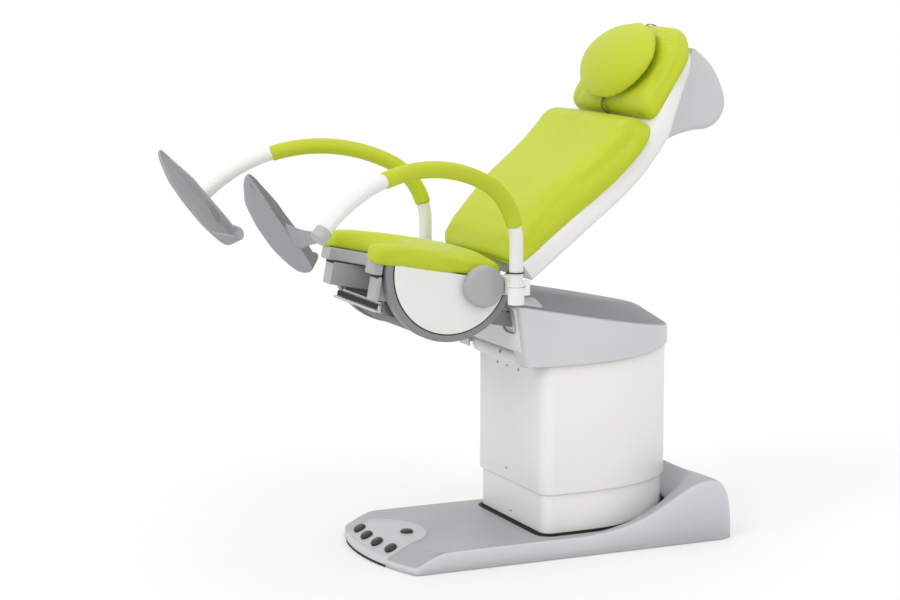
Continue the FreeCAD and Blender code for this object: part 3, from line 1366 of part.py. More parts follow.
def footSocket():
    # A collar on the tube's end and a neck that curves over to the sole's outer edge.
    gap = size.runningGap
    collar = Part.makeCylinder(size.collarRadius, size.collarLength + 8,
                               archEnd, archHeading)
    bore = Part.makeCylinder(size.armRadius + gap, size.collarLength + gap,
                             archEnd, archHeading)
    target = soleSpot(-0.14 * size.soleLength, 0.8 * size.heelRadius, size.soleThickness)
    start = tubeEnd + archHeading * 4
    reach = (target - start).Length * 0.5
    arrive = (outboard * -0.75 + upFace * 0.66).normalize()
    pull = [start, start + archHeading * reach, target - arrive * reach, target]
    rings = []
    for share in (0.0, 0.33, 0.66, 1.0):
        back = 1 - share
        spot = (pull[0] * back ** 3 + pull[1] * 3 * back ** 2 * share + pull[2] * 3 * back * share ** 2
                + pull[3] * share ** 3)
        heading = ((pull[1] - pull[0]) * back ** 2 + (pull[2] - pull[1]) * 2 * back * share
                   + (pull[3] - pull[2]) * share ** 2)
        radius = size.collarRadius - 1 + (size.neckRadius - size.collarRadius + 1) * share
        rings.append(Part.Wire([Part.makeCircle(radius, spot, heading)]))
    neck = Part.makeLoft(rings, True, False)
    blocked = solePlan(0).extrude(upFace * size.soleLength)
    socket = collar.fuse(neck).cut(bore).cut(plate).cut(blocked)
    return max(socket.Solids, key=lambda piece: piece.Volume)


rightSocket = solid("foot_socket_right", footSocket())
node(mirrored("foot_socket_left", rightSocket), "foot_socket_left")

# Check every piece, then write one file for each

doc.recompute()
for thing in doc.Objects:
    if "Invalid" in thing.State or "Error" in thing.State:
        raise RuntimeError(f"{thing.Label} did not build: {thing.State}")
for thing in nodes:
    if thing.Shape.isNull() or not thing.Shape.isValid():
        raise RuntimeError(f"{thing.Label} has no valid shape")
for thing in nodes:
    thing.Shape.exportStep(f"parts/{thing.Label}.step")
print(len(nodes), "pieces written")
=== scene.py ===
import json
import math

import bmesh
import bpy
import numpy as np
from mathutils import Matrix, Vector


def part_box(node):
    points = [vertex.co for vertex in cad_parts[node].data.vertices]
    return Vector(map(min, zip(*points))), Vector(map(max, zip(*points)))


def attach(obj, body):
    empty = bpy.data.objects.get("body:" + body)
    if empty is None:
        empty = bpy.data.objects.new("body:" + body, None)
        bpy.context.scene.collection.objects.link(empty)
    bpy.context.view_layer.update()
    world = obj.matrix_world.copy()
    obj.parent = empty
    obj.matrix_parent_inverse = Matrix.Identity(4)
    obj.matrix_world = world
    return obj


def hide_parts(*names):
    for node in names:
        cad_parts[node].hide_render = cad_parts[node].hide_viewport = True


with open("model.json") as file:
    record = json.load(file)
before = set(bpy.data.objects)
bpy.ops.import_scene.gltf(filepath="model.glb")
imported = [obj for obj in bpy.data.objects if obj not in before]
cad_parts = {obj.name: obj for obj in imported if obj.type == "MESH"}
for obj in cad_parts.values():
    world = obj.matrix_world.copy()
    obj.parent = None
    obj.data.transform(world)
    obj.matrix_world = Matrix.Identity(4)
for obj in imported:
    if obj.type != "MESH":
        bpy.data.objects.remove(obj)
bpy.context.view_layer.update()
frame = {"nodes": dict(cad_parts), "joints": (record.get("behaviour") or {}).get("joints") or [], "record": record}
mm = 0.001
scene = bpy.context.scene
joints = {joint["name"]: joint for joint in frame["joints"]}
sides = {"right": -1, "left": 1}
print("frame loaded:", len(frame["nodes"]), "nodes")


# numpy helpers, all in millimetres

def jointSpot(name):
    # where a joint is at rest
    return np.array(joints[name]["pos_m"]) / mm


def unit(vectors):
    # each vector divided by its length
    return vectors / np.linalg.norm(vectors, axis=-1, keepdims=True)


def fade(x, start, end):
    # smooth step from 0 at start to 1 at end
    share = np.clip((x - start) / (end - start), 0, 1)
    return share * share * (3 - 2 * share)


def softLower(first, second, soft):
    # the lower of two heights, with a rounded corner: half of their sum less their softened distance
    return 0.5 * (first + second - np.sqrt((first - second) ** 2 + soft))


def arcPoints(centre, radius, start, end, count):
    # points of a circle between two angles in degrees
    turn = np.radians(np.linspace(start, end, count))
    return np.stack([centre[0] + radius * np.cos(turn), centre[1] + radius * np.sin(turn)], axis=-1)


def arcThrough(first, middle, last, count):
    # points of the circle through three points: its centre is where the two perpendicular bisectors meet
    first, middle, last = (np.asarray(spot, float) for spot in (first, middle, last))
    chords = np.stack([middle - first, last - first]) * 2
    centre = np.linalg.solve(chords, [middle @ middle - first @ first, last @ last - first @ first])
    angles = np.unwrap([math.atan2(*(spot - centre)[::-1]) for spot in (first, middle, last)])
    return arcPoints(centre, np.linalg.norm(first - centre), *np.degrees(angles[[0, 2]]), count)


def ringSection(radius, count=48):
    # even points of a whole circle about the origin
    return arcPoints((0, 0), radius, 0, 360, count + 1)[:-1]


def rectangle(across, up):
    # four corners, anticlockwise, from two ranges
    return np.array([(across[0], up[0]), (across[1], up[0]), (across[1], up[1]), (across[0], up[1])], float)


def bezier(points, count):
    # cubic curve: the four points weighted by the Bernstein terms
    share = np.linspace(0, 1, count)[:, None]
    rest = 1 - share
    a, b, c, d = np.asarray(points, float)
    return a * rest ** 3 + 3 * b * share * rest ** 2 + 3 * c * share ** 2 * rest + d * share ** 3


def lengths(line):
    # distance of each point from the line's start, along it
    return np.concatenate([[0], np.cumsum(np.linalg.norm(np.diff(line, axis=0), axis=1))])


def evenLine(line, count, blend=0, closed=False):
    # line resampled to even steps; blend averages that many neighbours on each side to round its corners
    steps = lengths(line)
    places = np.linspace(0, steps[-1], count, endpoint=not closed)
    points = np.stack([np.interp(places, steps, line[:, axis]) for axis in range(line.shape[1])], axis=-1)
    if blend:
        weights = np.hanning(2 * blend + 3)[1:-1]
        wide = np.pad(points, ((blend, blend), (0, 0)), mode="wrap" if closed else "edge")
        shifts = np.stack([wide[shift:shift + count] for shift in range(2 * blend + 1)])
        points = np.tensordot(weights / weights.sum(), shifts, axes=1)
    return points


def evenLoop(outline, count, blend=0):
    # the same for a closed outline: its first point is repeated at its end
    return evenLine(np.vstack([outline, outline[:1]]), count, blend, closed=True)


def loopNormals(loop):
    # outward normals of an anticlockwise loop in the plane
    ahead = np.roll(loop, -1, axis=0) - np.roll(loop, 1, axis=0)
    return unit(np.stack([ahead[:, 1], -ahead[:, 0]], axis=-1))


def roundedRows(loops, radii, steps=6):
    # section through matching loops: at each inner loop the corner is a quadratic curve that starts and ends
    # one radius away from it, or half way to the next loop where that is nearer
    rows = [loops[0]]
    share = np.linspace(0, 1, steps)[:, None, None]
    for before, corner, after, radius in zip(loops, loops[1:], loops[2:], radii):
        ends = []
        for other in (before, after):
            away = other - corner
            length = np.linalg.norm(away, axis=-1, keepdims=True)
            ends.append(corner + away / np.maximum(length, 1e-6) * np.minimum(radius, 0.48 * length))
        rows += list((1 - share) ** 2 * ends[0] + 2 * share * (1 - share) * corner + share ** 2 * ends[1])
    rows.append(loops[-1])
    return np.array(rows)


# meshes

def newObject(name, mesh):
    thing = bpy.data.objects.new(name, mesh)
    scene.collection.objects.link(thing)
    return thing


def cleanMesh(mesh, turned=False, flatAngle=0):
    # merges doubles, turns faces outwards, and joins faces that meet at less than an angle in degrees
    work = bmesh.new()
    work.from_mesh(mesh)
    bmesh.ops.remove_doubles(work, verts=work.verts, dist=1e-6)
    if turned:
        bmesh.ops.recalc_face_normals(work, faces=work.faces)
    if flatAngle:
        bmesh.ops.dissolve_limit(work, angle_limit=math.radians(flatAngle), verts=work.verts,
                                 edges=work.edges)
    work.to_mesh(mesh)
    work.free()


def shadeSmooth(mesh, sharp=None):
    # smooth faces; edges that turn by more than sharp degrees stay crisp
    mesh.polygons.foreach_set("use_smooth", np.ones(len(mesh.polygons), bool))
    if sharp:
        mesh.set_sharp_from_angle(angle=math.radians(sharp))


def makeMesh(name, points, faces, sharp=35):
    # mesh from points in millimetres
    mesh = bpy.data.meshes.new(name)
    mesh.from_pydata((np.asarray(points) * mm).tolist(), [], faces)
    cleanMesh(mesh, turned=True)
    shadeSmooth(mesh, sharp)
    return newObject(name, mesh)


def gridFaces(rowCount, count, closed=True, loop=False):
    # quads between neighbouring rows of a grid of points
    index = np.arange(rowCount * count).reshape(rowCount, count)
    near, far = (index, np.roll(index, -1, axis=1)) if closed else (index[:, :-1], index[:, 1:])
    if loop:
        low, high = (near, far), (np.roll(near, -1, axis=0), np.roll(far, -1, axis=0))
    else:
        low, high = (near[:-1], far[:-1]), (near[1:], far[1:])
    return np.stack([low[0], low[1], high[1], high[0]], axis=-1).reshape(-1, 4).tolist()


def loft(name, rows, closed=True, loop=False, caps=True, sharp=35):
    # skin through rows of points, (rows, points, xyz); loop joins the last row to the first
    rows = np.asarray(rows, float)
    rowCount, count = rows.shape[:2]
    faces = gridFaces(rowCount, count, closed, loop)
    if caps and not loop:
        last = (rowCount - 1) * count
        faces += [list(range(count)), list(range(last, last + count))]
    return makeMesh(name, rows.reshape(-1, 3), faces, sharp)


def sweep(name, path, across, profile, sharp=35):
    # profile (side, up) carried along a path that lies in one plane; across is that plane's normal
    heading = unit(np.gradient(path, axis=0))
    across = np.broadcast_to(unit(np.asarray(across, float)), path.shape)
    up = np.cross(heading, across)
    profile = np.asarray(profile, float)
    if profile.ndim == 2:
        profile = np.broadcast_to(profile, (len(path), *profile.shape))
    rows = path[:, None] + across[:, None] * profile[..., :1] + up[:, None] * profile[..., 1:]
    return loft(name, rows, sharp=sharp)


def revolve(name, profile, centre, axis, count=96, sharp=35):
    # profile (radius, along) turned once about an axis through centre
    axis = unit(np.asarray(axis, float))
    helper = np.array([0, 0, 1.0]) if abs(axis[2]) < 0.9 else np.array([1.0, 0, 0])
    first = unit(np.cross(helper, axis))
    second = np.cross(axis, first)
    turn = np.radians(np.linspace(0, 360, count, endpoint=False))[:, None, None]
    profile = np.asarray(profile, float)
    rows = (np.asarray(centre, float) + profile[None, :, :1] * (np.cos(turn) * first + np.sin(turn) * second)
            + profile[None, :, 1:] * axis)
    return loft(name, rows, loop=True, sharp=sharp)


def thicken(thing, wall):
    # wall laid inside an open skin
    shell = thing.modifiers.new("wall", "SOLIDIFY")
    shell.thickness = wall * mm
    shell.offset = -1
    return thing


def plainCopy(node, name, flatAngle=0):
    # copy of a CAD piece's mesh with its loose triangles merged
    mesh = frame["nodes"][node].data.copy()
    mesh.name = name
    mesh.materials.clear()
    if "custom_normal" in mesh.attributes:
        mesh.attributes.remove(mesh.attributes["custom_normal"])
    cleanMesh(mesh, flatAngle=flatAngle)
    return newObject(name, mesh)


def softened(node, name, width, segments=3, corner=30):
    # CAD piece with its flat faces joined again and its edges rounded by width millimetres
    thing = plainCopy(node, name, flatAngle=0.5)
    shadeSmooth(thing.data, corner)
    edges = thing.modifiers.new("roundedEdges", "BEVEL")
    edges.width = width * mm
    edges.segments = segments
    edges.limit_method = "ANGLE"
    edges.angle_limit = math.radians(corner)
    edges.harden_normals = True
    return thing


def settle(thing, body, slot, *nodes, finish=None):
    # gives a piece its finish, the slot's own if no other is named, its body and the CAD nodes it stands for
    thing.data.materials.clear()
    thing.data.materials.append(finishes[finish or slot])
    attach(thing, body)
    if nodes:
        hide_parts(*nodes)
    return thing


# materials

noiseSpan = {1: 0.3, 2: 0.7}  # the stretch of a noise's values that is drawn out


def linear(hexText):
    # sRGB hex to linear colour
    parts = np.array([int(hexText[place:place + 2], 16) for place in (1, 3, 5)]) / 255
    return (*np.where(parts <= 0.04045, parts / 12.92, ((parts + 0.055) / 1.055) ** 2.4).tolist(), 1.0)


def addNode(tree, kind, settings=None, links=None):
    # one node with its settings, on sockets or properties, and its links
    made = tree.nodes.new(kind)
    for key, setting in (settings or {}).items():
        if isinstance(key, int) or key in made.inputs:
            made.inputs[key].default_value = setting
        else:
            setattr(made, key, setting)
    for key, source in (links or {}).items():
        tree.links.new(source, made.inputs[key])
    return made


def blankMaterial(name):
    material = bpy.data.materials.new(name)
    material.use_nodes = True
    material.node_tree.nodes.clear()
    return material, material.node_tree


def patternedMaterial(name):
    # blank material and the piece's own coordinates that its patterns lie on
    material, tree = blankMaterial(name)
    return material, tree, addNode(tree, "ShaderNodeTexCoord").outputs["Object"]


def mottle(tree, vector, sizeMm, detail, look):
    # clouds of a real size, and the look's two colours mixed by them
    cloud = addNode(tree, "ShaderNodeTexNoise", {"Scale": 1000 / sizeMm, "Detail": detail},
                    {"Vector": vector})
    colours = {"data_type": "RGBA", 6: linear(look["colour"]), 7: linear(look["shade"])}
    tone = addNode(tree, "ShaderNodeMix", colours, {0: cloud.outputs["Fac"]})
    return cloud.outputs["Fac"], tone.outputs[2]


def finishMaterial(tree, settings, links):
    # principled surface on the material's output
    surface = addNode(tree, "ShaderNodeBsdfPrincipled", settings, links)
    addNode(tree, "ShaderNodeOutputMaterial", None, {"Surface": surface.outputs["BSDF"]})


plasticLook = {"cloudMm": 160, "grainMm": 1.4, "depthMm": 0.1, "bump": 0.12, "edgeLift": 0.35,
               "roughness": 0.42}
coatLook = {"cloudMm": 220, "peelMm": 3.0, "bump": 0.06, "coat": 0.15, "roughness": 0.34}
leatherLook = {"hollow": 0.25, "pebbleMm": 2.6, "creaseMm": 1.1, "cloudMm": 140, "bump": 0.1,
               "roughness": 0.46}


def mouldedPlastic(name, **changes):
    # injection-moulded ABS or polyamide: spark-eroded texture as a fine bump, faint clouds of tone, convex
    # edges drawn lighter, and where upper is given, painted shade: faces that look up are drawn a tone darker
    look = {**plasticLook, **changes}
    rough = look["roughness"]
    material, tree, spot = patternedMaterial(name)
    cloud, tone = mottle(tree, spot, look["cloudMm"], 3.0, look)
    grain = addNode(tree, "ShaderNodeTexNoise", {"Scale": 1000 / look["grainMm"], "Detail": 2.0},
                    {"Vector": spot})
    surface = addNode(tree, "ShaderNodeNewGeometry").outputs
    # convex edges, found by their pointiness, are mixed towards the lighter edge colour
    edgeShare = addNode(tree, "ShaderNodeMapRange", {1: 0.53, 2: 0.62, 3: 0.0, 4: look["edgeLift"]},
                     {0: surface["Pointiness"]})
    colour = addNode(tree, "ShaderNodeMix", {"data_type": "RGBA", 7: linear(look["edge"])},
                     {0: edgeShare.outputs[0], 6: tone})
    # painted shade: the more a face looks up, the further its colour is mixed towards the darker upper colour
    if "upper" in look:
        height = addNode(tree, "ShaderNodeSeparateXYZ", None, {0: surface["Normal"]}).outputs["Z"]
        facing = addNode(tree, "ShaderNodeMapRange", {1: 0.25, 2: 0.8}, {0: height})
        colour = addNode(tree, "ShaderNodeMix", {"data_type": "RGBA", 7: linear(look["upper"])},
                         {0: facing.outputs[0], 6: colour.outputs[2]})
    gloss = addNode(tree, "ShaderNodeMapRange", {**noiseSpan, 3: rough - 0.04, 4: rough + 0.05}, {0: cloud})
    bump = addNode(tree, "ShaderNodeBump", {"Strength": look["bump"], "Distance": look["depthMm"] * mm},
                   {"Height": grain.outputs["Fac"]})
    finishMaterial(tree, {"IOR": 1.53}, {"Base Color": colour.outputs[2], "Roughness": gloss.outputs[0],
                                         "Normal": bump.outputs[0]})
    return material


def powderCoat(name, **changes):
    # polyester powder coat on sheet steel or tube: slight orange peel, even colour, soft gloss
    look = {**coatLook, **changes}
    rough = look["roughness"]
    material, tree, spot = patternedMaterial(name)
    cloud, tone = mottle(tree, spot, look["cloudMm"], 2.0, look)
    peel = addNode(tree, "ShaderNodeTexNoise", {"Scale": 1000 / look["peelMm"], "Detail": 1.0},
                   {"Vector": spot})
    gloss = addNode(tree, "ShaderNodeMapRange", {**noiseSpan, 3: rough - 0.03, 4: rough + 0.04}, {0: cloud})
    bump = addNode(tree, "ShaderNodeBump", {"Strength": look["bump"], "Distance": 0.05 * mm},
                   {"Height": peel.outputs["Fac"]})
    finishMaterial(tree, {"IOR": 1.5, "Coat Weight": look["coat"], "Coat Roughness": 0.12},
                   {"Base Color": tone, "Roughness": gloss.outputs[0], "Normal": bump.outputs[0]})
    return material


def syntheticLeather(name, **changes):
    # PU-coated knit over moulded foam: pebble grain pressed into the skin, drawn coarser than the real
    # 0.8 mm so that it shows, a soft sheen, and a darker tone between the pebbles
    look = {**leatherLook, **changes}
    rough = look["roughness"]
    material, tree, spot = patternedMaterial(name)
    tone = mottle(tree, spot, look["cloudMm"], 2.0, look)[1]
    pebble = addNode(tree, "ShaderNodeTexVoronoi", {"Scale": 1000 / look["pebbleMm"], "feature": "SMOOTH_F1",
                                                    "Smoothness": 0.6}, {"Vector": spot}).outputs["Distance"]
    crease = addNode(tree, "ShaderNodeTexNoise", {"Scale": 1000 / look["creaseMm"], "Detail": 4.0},
                     {"Vector": spot}).outputs["Fac"]
    hollow = addNode(tree, "ShaderNodeMapRange", {1: 0.35, 2: 0.75, 3: 0.0, 4: look["hollow"]}, {0: pebble})
    skin = addNode(tree, "ShaderNodeMix", {"data_type": "RGBA", 7: linear(look["crease"])},
                   {0: hollow.outputs[0], 6: tone})
    gloss = addNode(tree, "ShaderNodeMapRange", {**noiseSpan, 3: rough - 0.05, 4: rough + 0.06}, {0: crease})
    fine = addNode(tree, "ShaderNodeBump", {"Strength": 0.12, "Distance": 0.2 * mm}, {"Height": crease})
    grain = addNode(tree, "ShaderNodeBump", {"Strength": look["bump"], "Distance": 0.12 * mm, "invert": True},
                    {"Height": pebble, "Normal": fine.outputs[0]})
    finishMaterial(tree, {"IOR": 1.42, "Sheen Weight": 0.03, "Sheen Roughness": 0.4},
                   {"Base Color": skin.outputs[2], "Roughness": gloss.outputs[0], "Normal": grain.outputs[0]})
    return material


def brushedSteel(name, **look):
    # zinc-plated or stainless sheet brushed along one way: long fine scratches in gloss and bump
    rough = look["roughness"]
    material, tree, spot = patternedMaterial(name)
    along = addNode(tree, "ShaderNodeMapping", {"Scale": look["stretch"]}, {"Vector": spot})
    scratch, tone = mottle(tree, along.outputs["Vector"], look["scratchMm"], 4.0, look)
    gloss = addNode(tree, "ShaderNodeMapRange", {**noiseSpan, 3: rough - 0.08, 4: rough + 0.1}, {0: scratch})
    bump = addNode(tree, "ShaderNodeBump", {"Strength": 0.15, "Distance": 0.05 * mm}, {"Height": scratch})
    finishMaterial(tree, {"Metallic": 1.0},
                   {"Base Color": tone, "Roughness": gloss.outputs[0], "Normal": bump.outputs[0]})
    return material


def mouldedRubber(name, **look):
    # compression-moulded rubber or elastic braid: dull, with a faint dusty bloom
    material, tree, spot = patternedMaterial(name)
    bloom, tone = mottle(tree, spot, look["bloomMm"], 5.0, look)
    bump = addNode(tree, "ShaderNodeBump", {"Strength": 0.2, "Distance": 0.1 * mm}, {"Height": bloom})
    finishMaterial(tree, {"IOR": 1.52, "Roughness": look["roughness"]},
                   {"Base Color": tone, "Normal": bump.outputs[0]})
    return material


finishes = {
    # upper colours are painted shade, drawn on the faces of these shells that look up
    "base_shell": mouldedPlastic("silverAbs", colour="#DADADE", shade="#D4D4D9", edge="#EAEAEC",
                                 upper="#A8A9AE"),
    "panel_shell": mouldedPlastic("lightGreyAbs", colour="#D6D7D8", shade="#CFD0D2", edge="#ECECEC",
                                  upper="#C2C3C5"),
    "head_shell": mouldedPlastic("greyAbs", colour="#DADADC", shade="#D4D5D7", edge="#ECECEC",
                                 upper="#7E7F83"),
    "grey_plastic": mouldedPlastic("satinGreyAbs", colour="#B4B5B7", shade="#ACADB0", edge="#D2D2D2"),
    "rim_grey": mouldedPlastic("darkGreyAbs", colour="#8D8F91", shade="#858789", edge="#B4B4B4"),
    "frame_grey": powderCoat("greyPowderCoat", colour="#8C8D8F", shade="#858689"),
    "foot_grey": mouldedPlastic("greyPolyamide", colour="#A9A9AD", shade="#A0A0A5", edge="#C8C8CA",
                                roughness=0.38),
    # painted shade for the foot plates' outboard faces; its light edge colour is a painted highlight
    "foot_painted_shade": mouldedPlastic("polyamidePaintedShade", colour="#7F8084", shade="#77787C", edge="#D4D4D6",
                                roughness=0.34),
    "socket_grey": mouldedPlastic("lightPolyamide", colour="#BDBDB9", shade="#B5B5B1", edge="#D8D8D4"),
    "plastic_white": mouldedPlastic("whiteAbs", colour="#F5F4F2", shade="#F1F0ED", edge="#FAFAFA",
                                    roughness=0.36),
    "cover_white": powderCoat("whitePowderCoat", colour="#F7F6F3", shade="#F3F2EF"),
    "tube_white": powderCoat("glossWhiteCoat", colour="#F1F1EE", shade="#ECECE8", roughness=0.24, coat=0.4),
    "frame_black": powderCoat("blackPowderCoat", colour="#1A1A1C", shade="#222225", roughness=0.45),
    "pad_green": syntheticLeather("limeSyntheticLeather", colour="#C9D42C", shade="#C1CE27",
                                  crease="#A5B71C"),
    "frame_steel": brushedSteel("zincSteel", colour="#A9ABAE", shade="#8E9094", scratchMm=3.0, roughness=0.42,
                                stretch=(1.0, 0.15, 1.0)),
    "tray_steel": brushedSteel("brushedStainless", colour="#D6D8DA", shade="#BEC0C3", scratchMm=2.4,
                               roughness=0.32, stretch=(1.0, 0.06, 1.0)),
    "button_black": mouldedRubber("softTouchRubber", colour="#202022", shade="#2A2A2C", bloomMm=5,
                                  roughness=0.45),
    # black rubber of the seals, also the painted shade of the black bars in gaps
    "seal_black": mouldedRubber("sealRubberAndGapShade", colour="#0E0E0F", shade="#18181A", bloomMm=9, roughness=0.7),
    # the band's olive green lies between the pads' green and their shade: its own colour, partly painted shade
    "cord_black": mouldedRubber("elasticBraid", colour="#6F8522", shade="#5E711B", bloomMm=1.5,
                                roughness=0.8),
}
slotOf = {part["node"]: part["material_slot"] for part in frame["record"]["subparts"]}
for node, thing in frame["nodes"].items():
    thing.data.materials.clear()
    thing.data.materials.append(finishes["frame_grey" if node == "seat_frame" else slotOf[node]])
print("materials:", len(finishes))


# base cover

base = {"front": -652, "half": 262, "bow": 54, "rear": 415, "rearCorner": 60, "lip": 22, "deck": 58,
        "bevelRun": 74, "bevelSoft": 0.006, "frontRound": 5, "sideRound": 15, "roundFrom": -600,
        "roundRun": 70, "rimRun": 33, "wall": 4, "count": 640, "floorGap": 2, "bowlRise": 36, "bowlSlope": 1.05,
        "bowlSoft": 250, "rearKept": 45, "rearRun": 20, "openingRound": 3, "openingDrop": 16,
        "humpRise": [(-150, 58), (165, 58), (210, 184), (322, 184)],
        "humpFall": [(312, 184), (372, 184), (393, 140), (408, 10)]}
column = {"front": -196, "half": 222, "corner": 38, "setback": -60, "rear": 350, "opening": 4,
          "lowerInset": 9, "wall": 4, "edge": 2.5, "count": 640}
bowRadius = (base["half"] ** 2 + base["bow"] ** 2) / (2 * base["bow"])
humpLine = np.vstack([bezier(base["humpRise"], 60), bezier(base["humpFall"], 60)[1:]])


def bowX(y):
    # front edge of the base: a shallow arc across the chair
    return base["front"] + bowRadius - np.sqrt(bowRadius ** 2 - np.clip(y, -bowRadius, bowRadius) ** 2)


def bowlHeight(x, y):
    # hollow round the column: rises to the rear, and with the distance from the column's plan
    rearRadius, sideRadius = column["rear"] + column["opening"], column["half"] + column["opening"]
    behind = x - column["setback"]
    ratio = np.hypot(behind / rearRadius, y / sideRadius)
    away = np.hypot(behind, y) * (1 - 1 / np.maximum(ratio, 1))
    rise = np.clip(behind / column["rear"], 0, 1) ** 2
    return base["deck"] + base["bowlRise"] * rise + base["bowlSlope"] * away


def deckHeight(x, y):
    # bevel behind the bowed front, flat deck, then the hump that depends on x, hollowed round the column
    bevel = softLower((x - bowX(y)) / base["bevelRun"], 1, base["bevelSoft"])
    deck = base["lip"] + (base["deck"] - base["lip"]) * np.clip(bevel, 0, 1)
    hump = np.interp(x, humpLine[:, 0], humpLine[:, 1])
    lower = softLower(hump, bowlHeight(x, y), base["bowlSoft"])
    inside = np.clip((base["rear"] - base["rearKept"] - x) / base["rearRun"], 0, 1)
    hollow = np.maximum(lower, base["deck"]) * inside + hump * (1 - inside)
    return np.where(x > humpLine[0, 0], np.minimum(hollow, hump), deck)


def basePlan(count):
    # anticlockwise from the middle of the bowed front
    y = np.linspace(0, -base["half"], 90)
    right = np.stack([bowX(y), y], axis=-1)
    corner = base["rearCorner"]
    rear = arcPoints((base["rear"] - corner, -base["half"] + corner), corner, -90, 0, 40)
    half = np.vstack([right, rear])
    return evenLoop(np.vstack([half, (half * [1, -1])[::-1]]), count, blend=3)


def columnPlan(front, half, corner, setback, rear, count=0):
    # flat front with round corners, straight sides, half an ellipse behind; anticlockwise from the front
    turn = np.linspace(-np.pi / 2, 0, 120)
    face = np.column_stack([np.full(40, front), np.linspace(0, -half + corner, 40)])
    corners = arcPoints((front + corner, -half + corner), corner, 180, 270, 14)
    flank = np.column_stack([np.linspace(front + corner, setback, 50), np.full(50, -half)])
    ellipse = np.stack([setback + rear * np.cos(turn), half * np.sin(turn)], axis=-1)
    right = np.vstack([face, corners[1:], flank[1:], ellipse[1:]])
    loop = np.vstack([right, (right * [1, -1])[::-1][1:-1]])
    return evenLoop(loop, count) if count else loop


def columnLoop(grow):
    # the column's plan, larger all round by grow
    return columnPlan(column["front"] - grow, column["half"] + grow, column["corner"] + grow,
                      column["setback"], column["rear"] + grow, column["count"])


pocket = {"radius": 30, "slope": 8, "depth": 13}
buttonBoxes = [np.array(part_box(f"foot_button_{index}")) / mm for index in range(1, 6)]
buttonSpots = [box.mean(axis=0) for box in buttonBoxes]


def pocketDepth(plan):
    # round pockets in the deck, under the panel, that the foot buttons are pressed into
    near = np.min([np.linalg.norm(plan - spot[:2], axis=1) for spot in buttonSpots], axis=0)
    return pocket["depth"] * np.clip((pocket["radius"] - near) / pocket["slope"], 0, 1)


def onDeck(plan, drop=0):
    # plan laid on the deck, or lower by drop
    return np.column_stack([plan, deckHeight(plan[:, 0], plan[:, 1]) - drop])


def baseRows():
    # wall, rounded edge, then straight in to the column's opening and down into it
    outline = basePlan(base["count"])
    opening, inner = columnLoop(column["opening"] + base["openingRound"]), columnLoop(column["opening"])
    foot = np.column_stack([outline, np.full(base["count"], float(base["floorGap"]))])
    rim = outline + unit(opening - outline) * base["rimRun"]
    plans = [rim + (opening - rim) * share for share in np.linspace(0, 1, 40)[1:] ** 1.25]
    sideShare = np.clip((outline[:, :1] - base["roundFrom"]) / base["roundRun"], 0, 1)
    edge = base["frontRound"] + (base["sideRound"] - base["frontRound"]) * sideShare
    rows = list(roundedRows([foot, onDeck(outline), onDeck(rim)], [edge], 9))
    rows += [onDeck(plan, pocketDepth(plan)) for plan in plans]
    return rows + [onDeck(inner, 2.5), onDeck(inner, base["openingDrop"])]


baseCover = thicken(loft("baseCover", baseRows(), caps=False, sharp=50), base["wall"])
settle(baseCover, "base", "base_shell", "base_cover")

# rubber lip that stands on the lower cover, and its flange in the gap, below where the upper cover comes down
seal = {"lip": 3.9, "stand": 5, "flangeTop": 61, "thick": 9, "slack": 0.3}
inner = columnLoop(-column["lowerInset"] + seal["slack"])
lip = columnLoop(-column["lowerInset"] + seal["slack"] + seal["lip"])
outer = columnLoop(column["opening"] - seal["slack"])
level = deckHeight(inner[:, 0], inner[:, 1]) + seal["stand"]
flange = np.minimum(level - seal["stand"], seal["flangeTop"])
low = flange - seal["thick"]
sealSteps = [(inner, level), (lip, level - 0.5), (lip, flange), (outer, flange), (outer, low), (inner, low)]
sealRows = [np.column_stack(step) for step in sealSteps]
settle(loft("columnSeal", sealRows, loop=True, sharp=50), "base", "seal_black", "column_seal")
print("base cover and seal")


# foot control panel and its buttons

panel = {"shift": 11, "half": 150, "taper": 4, "length": 190, "backRun": 95, "rise": 5, "rim": 8, "step": 1.8,
         "stepRun": 1.8, "fieldRun": 12, "edgeRound": 3.5, "rimRound": 0.8, "depth": 16, "count": 360,
         "proud": 0.8}


def panelPlan():
    # front edge on the base's bow, slanted sides, round tongue at the back
    y = np.linspace(panel["half"], -panel["half"], 60) + panel["shift"]
    front = np.stack([bowX(y) - panel["proud"], y], axis=-1)
    back = base["front"] + panel["length"]
    taper = panel["half"] - panel["taper"]
    radius = (taper ** 2 + panel["backRun"] ** 2) / (2 * panel["backRun"])
    swing = math.degrees(math.asin(taper / radius))
    tongue = arcPoints((back - radius, panel["shift"]), radius, -swing, swing, 80)
    return evenLoop(np.vstack([front, tongue]), panel["count"], blend=4)


def panelRows():
    # skirt, rounded outer edge, raised rim, then a field a little lower that closes to its middle
    outline = panelPlan()
    outward = loopNormals(outline)
    rim, rise, low = panel["rim"], panel["rise"], panel["rise"] - panel["step"]
    levels = [(0, -panel["depth"]), (0, rise), (rim, rise), (rim + panel["stepRun"], low),
              (rim + panel["fieldRun"], low)]
    loops = [np.column_stack([outline - outward * inset, np.full(len(outline), float(lift))])
             for inset, lift in levels]
    rows = list(roundedRows(loops, [panel["edgeRound"], panel["rimRound"], panel["rimRound"]], 5))
    middle = np.array([base["front"] + panel["length"] / 2, panel["shift"], low])
    rows += [loops[-1] + (middle - loops[-1]) * share for share in (0.2, 0.4, 0.6, 0.8, 0.999)]
    rows = np.array(rows)
    rows[..., 2] += deckHeight(rows[..., 0], rows[..., 1])
    return rows


settle(loft("controlPanel", panelRows(), sharp=40), "base", "panel_shell", "control_panel")

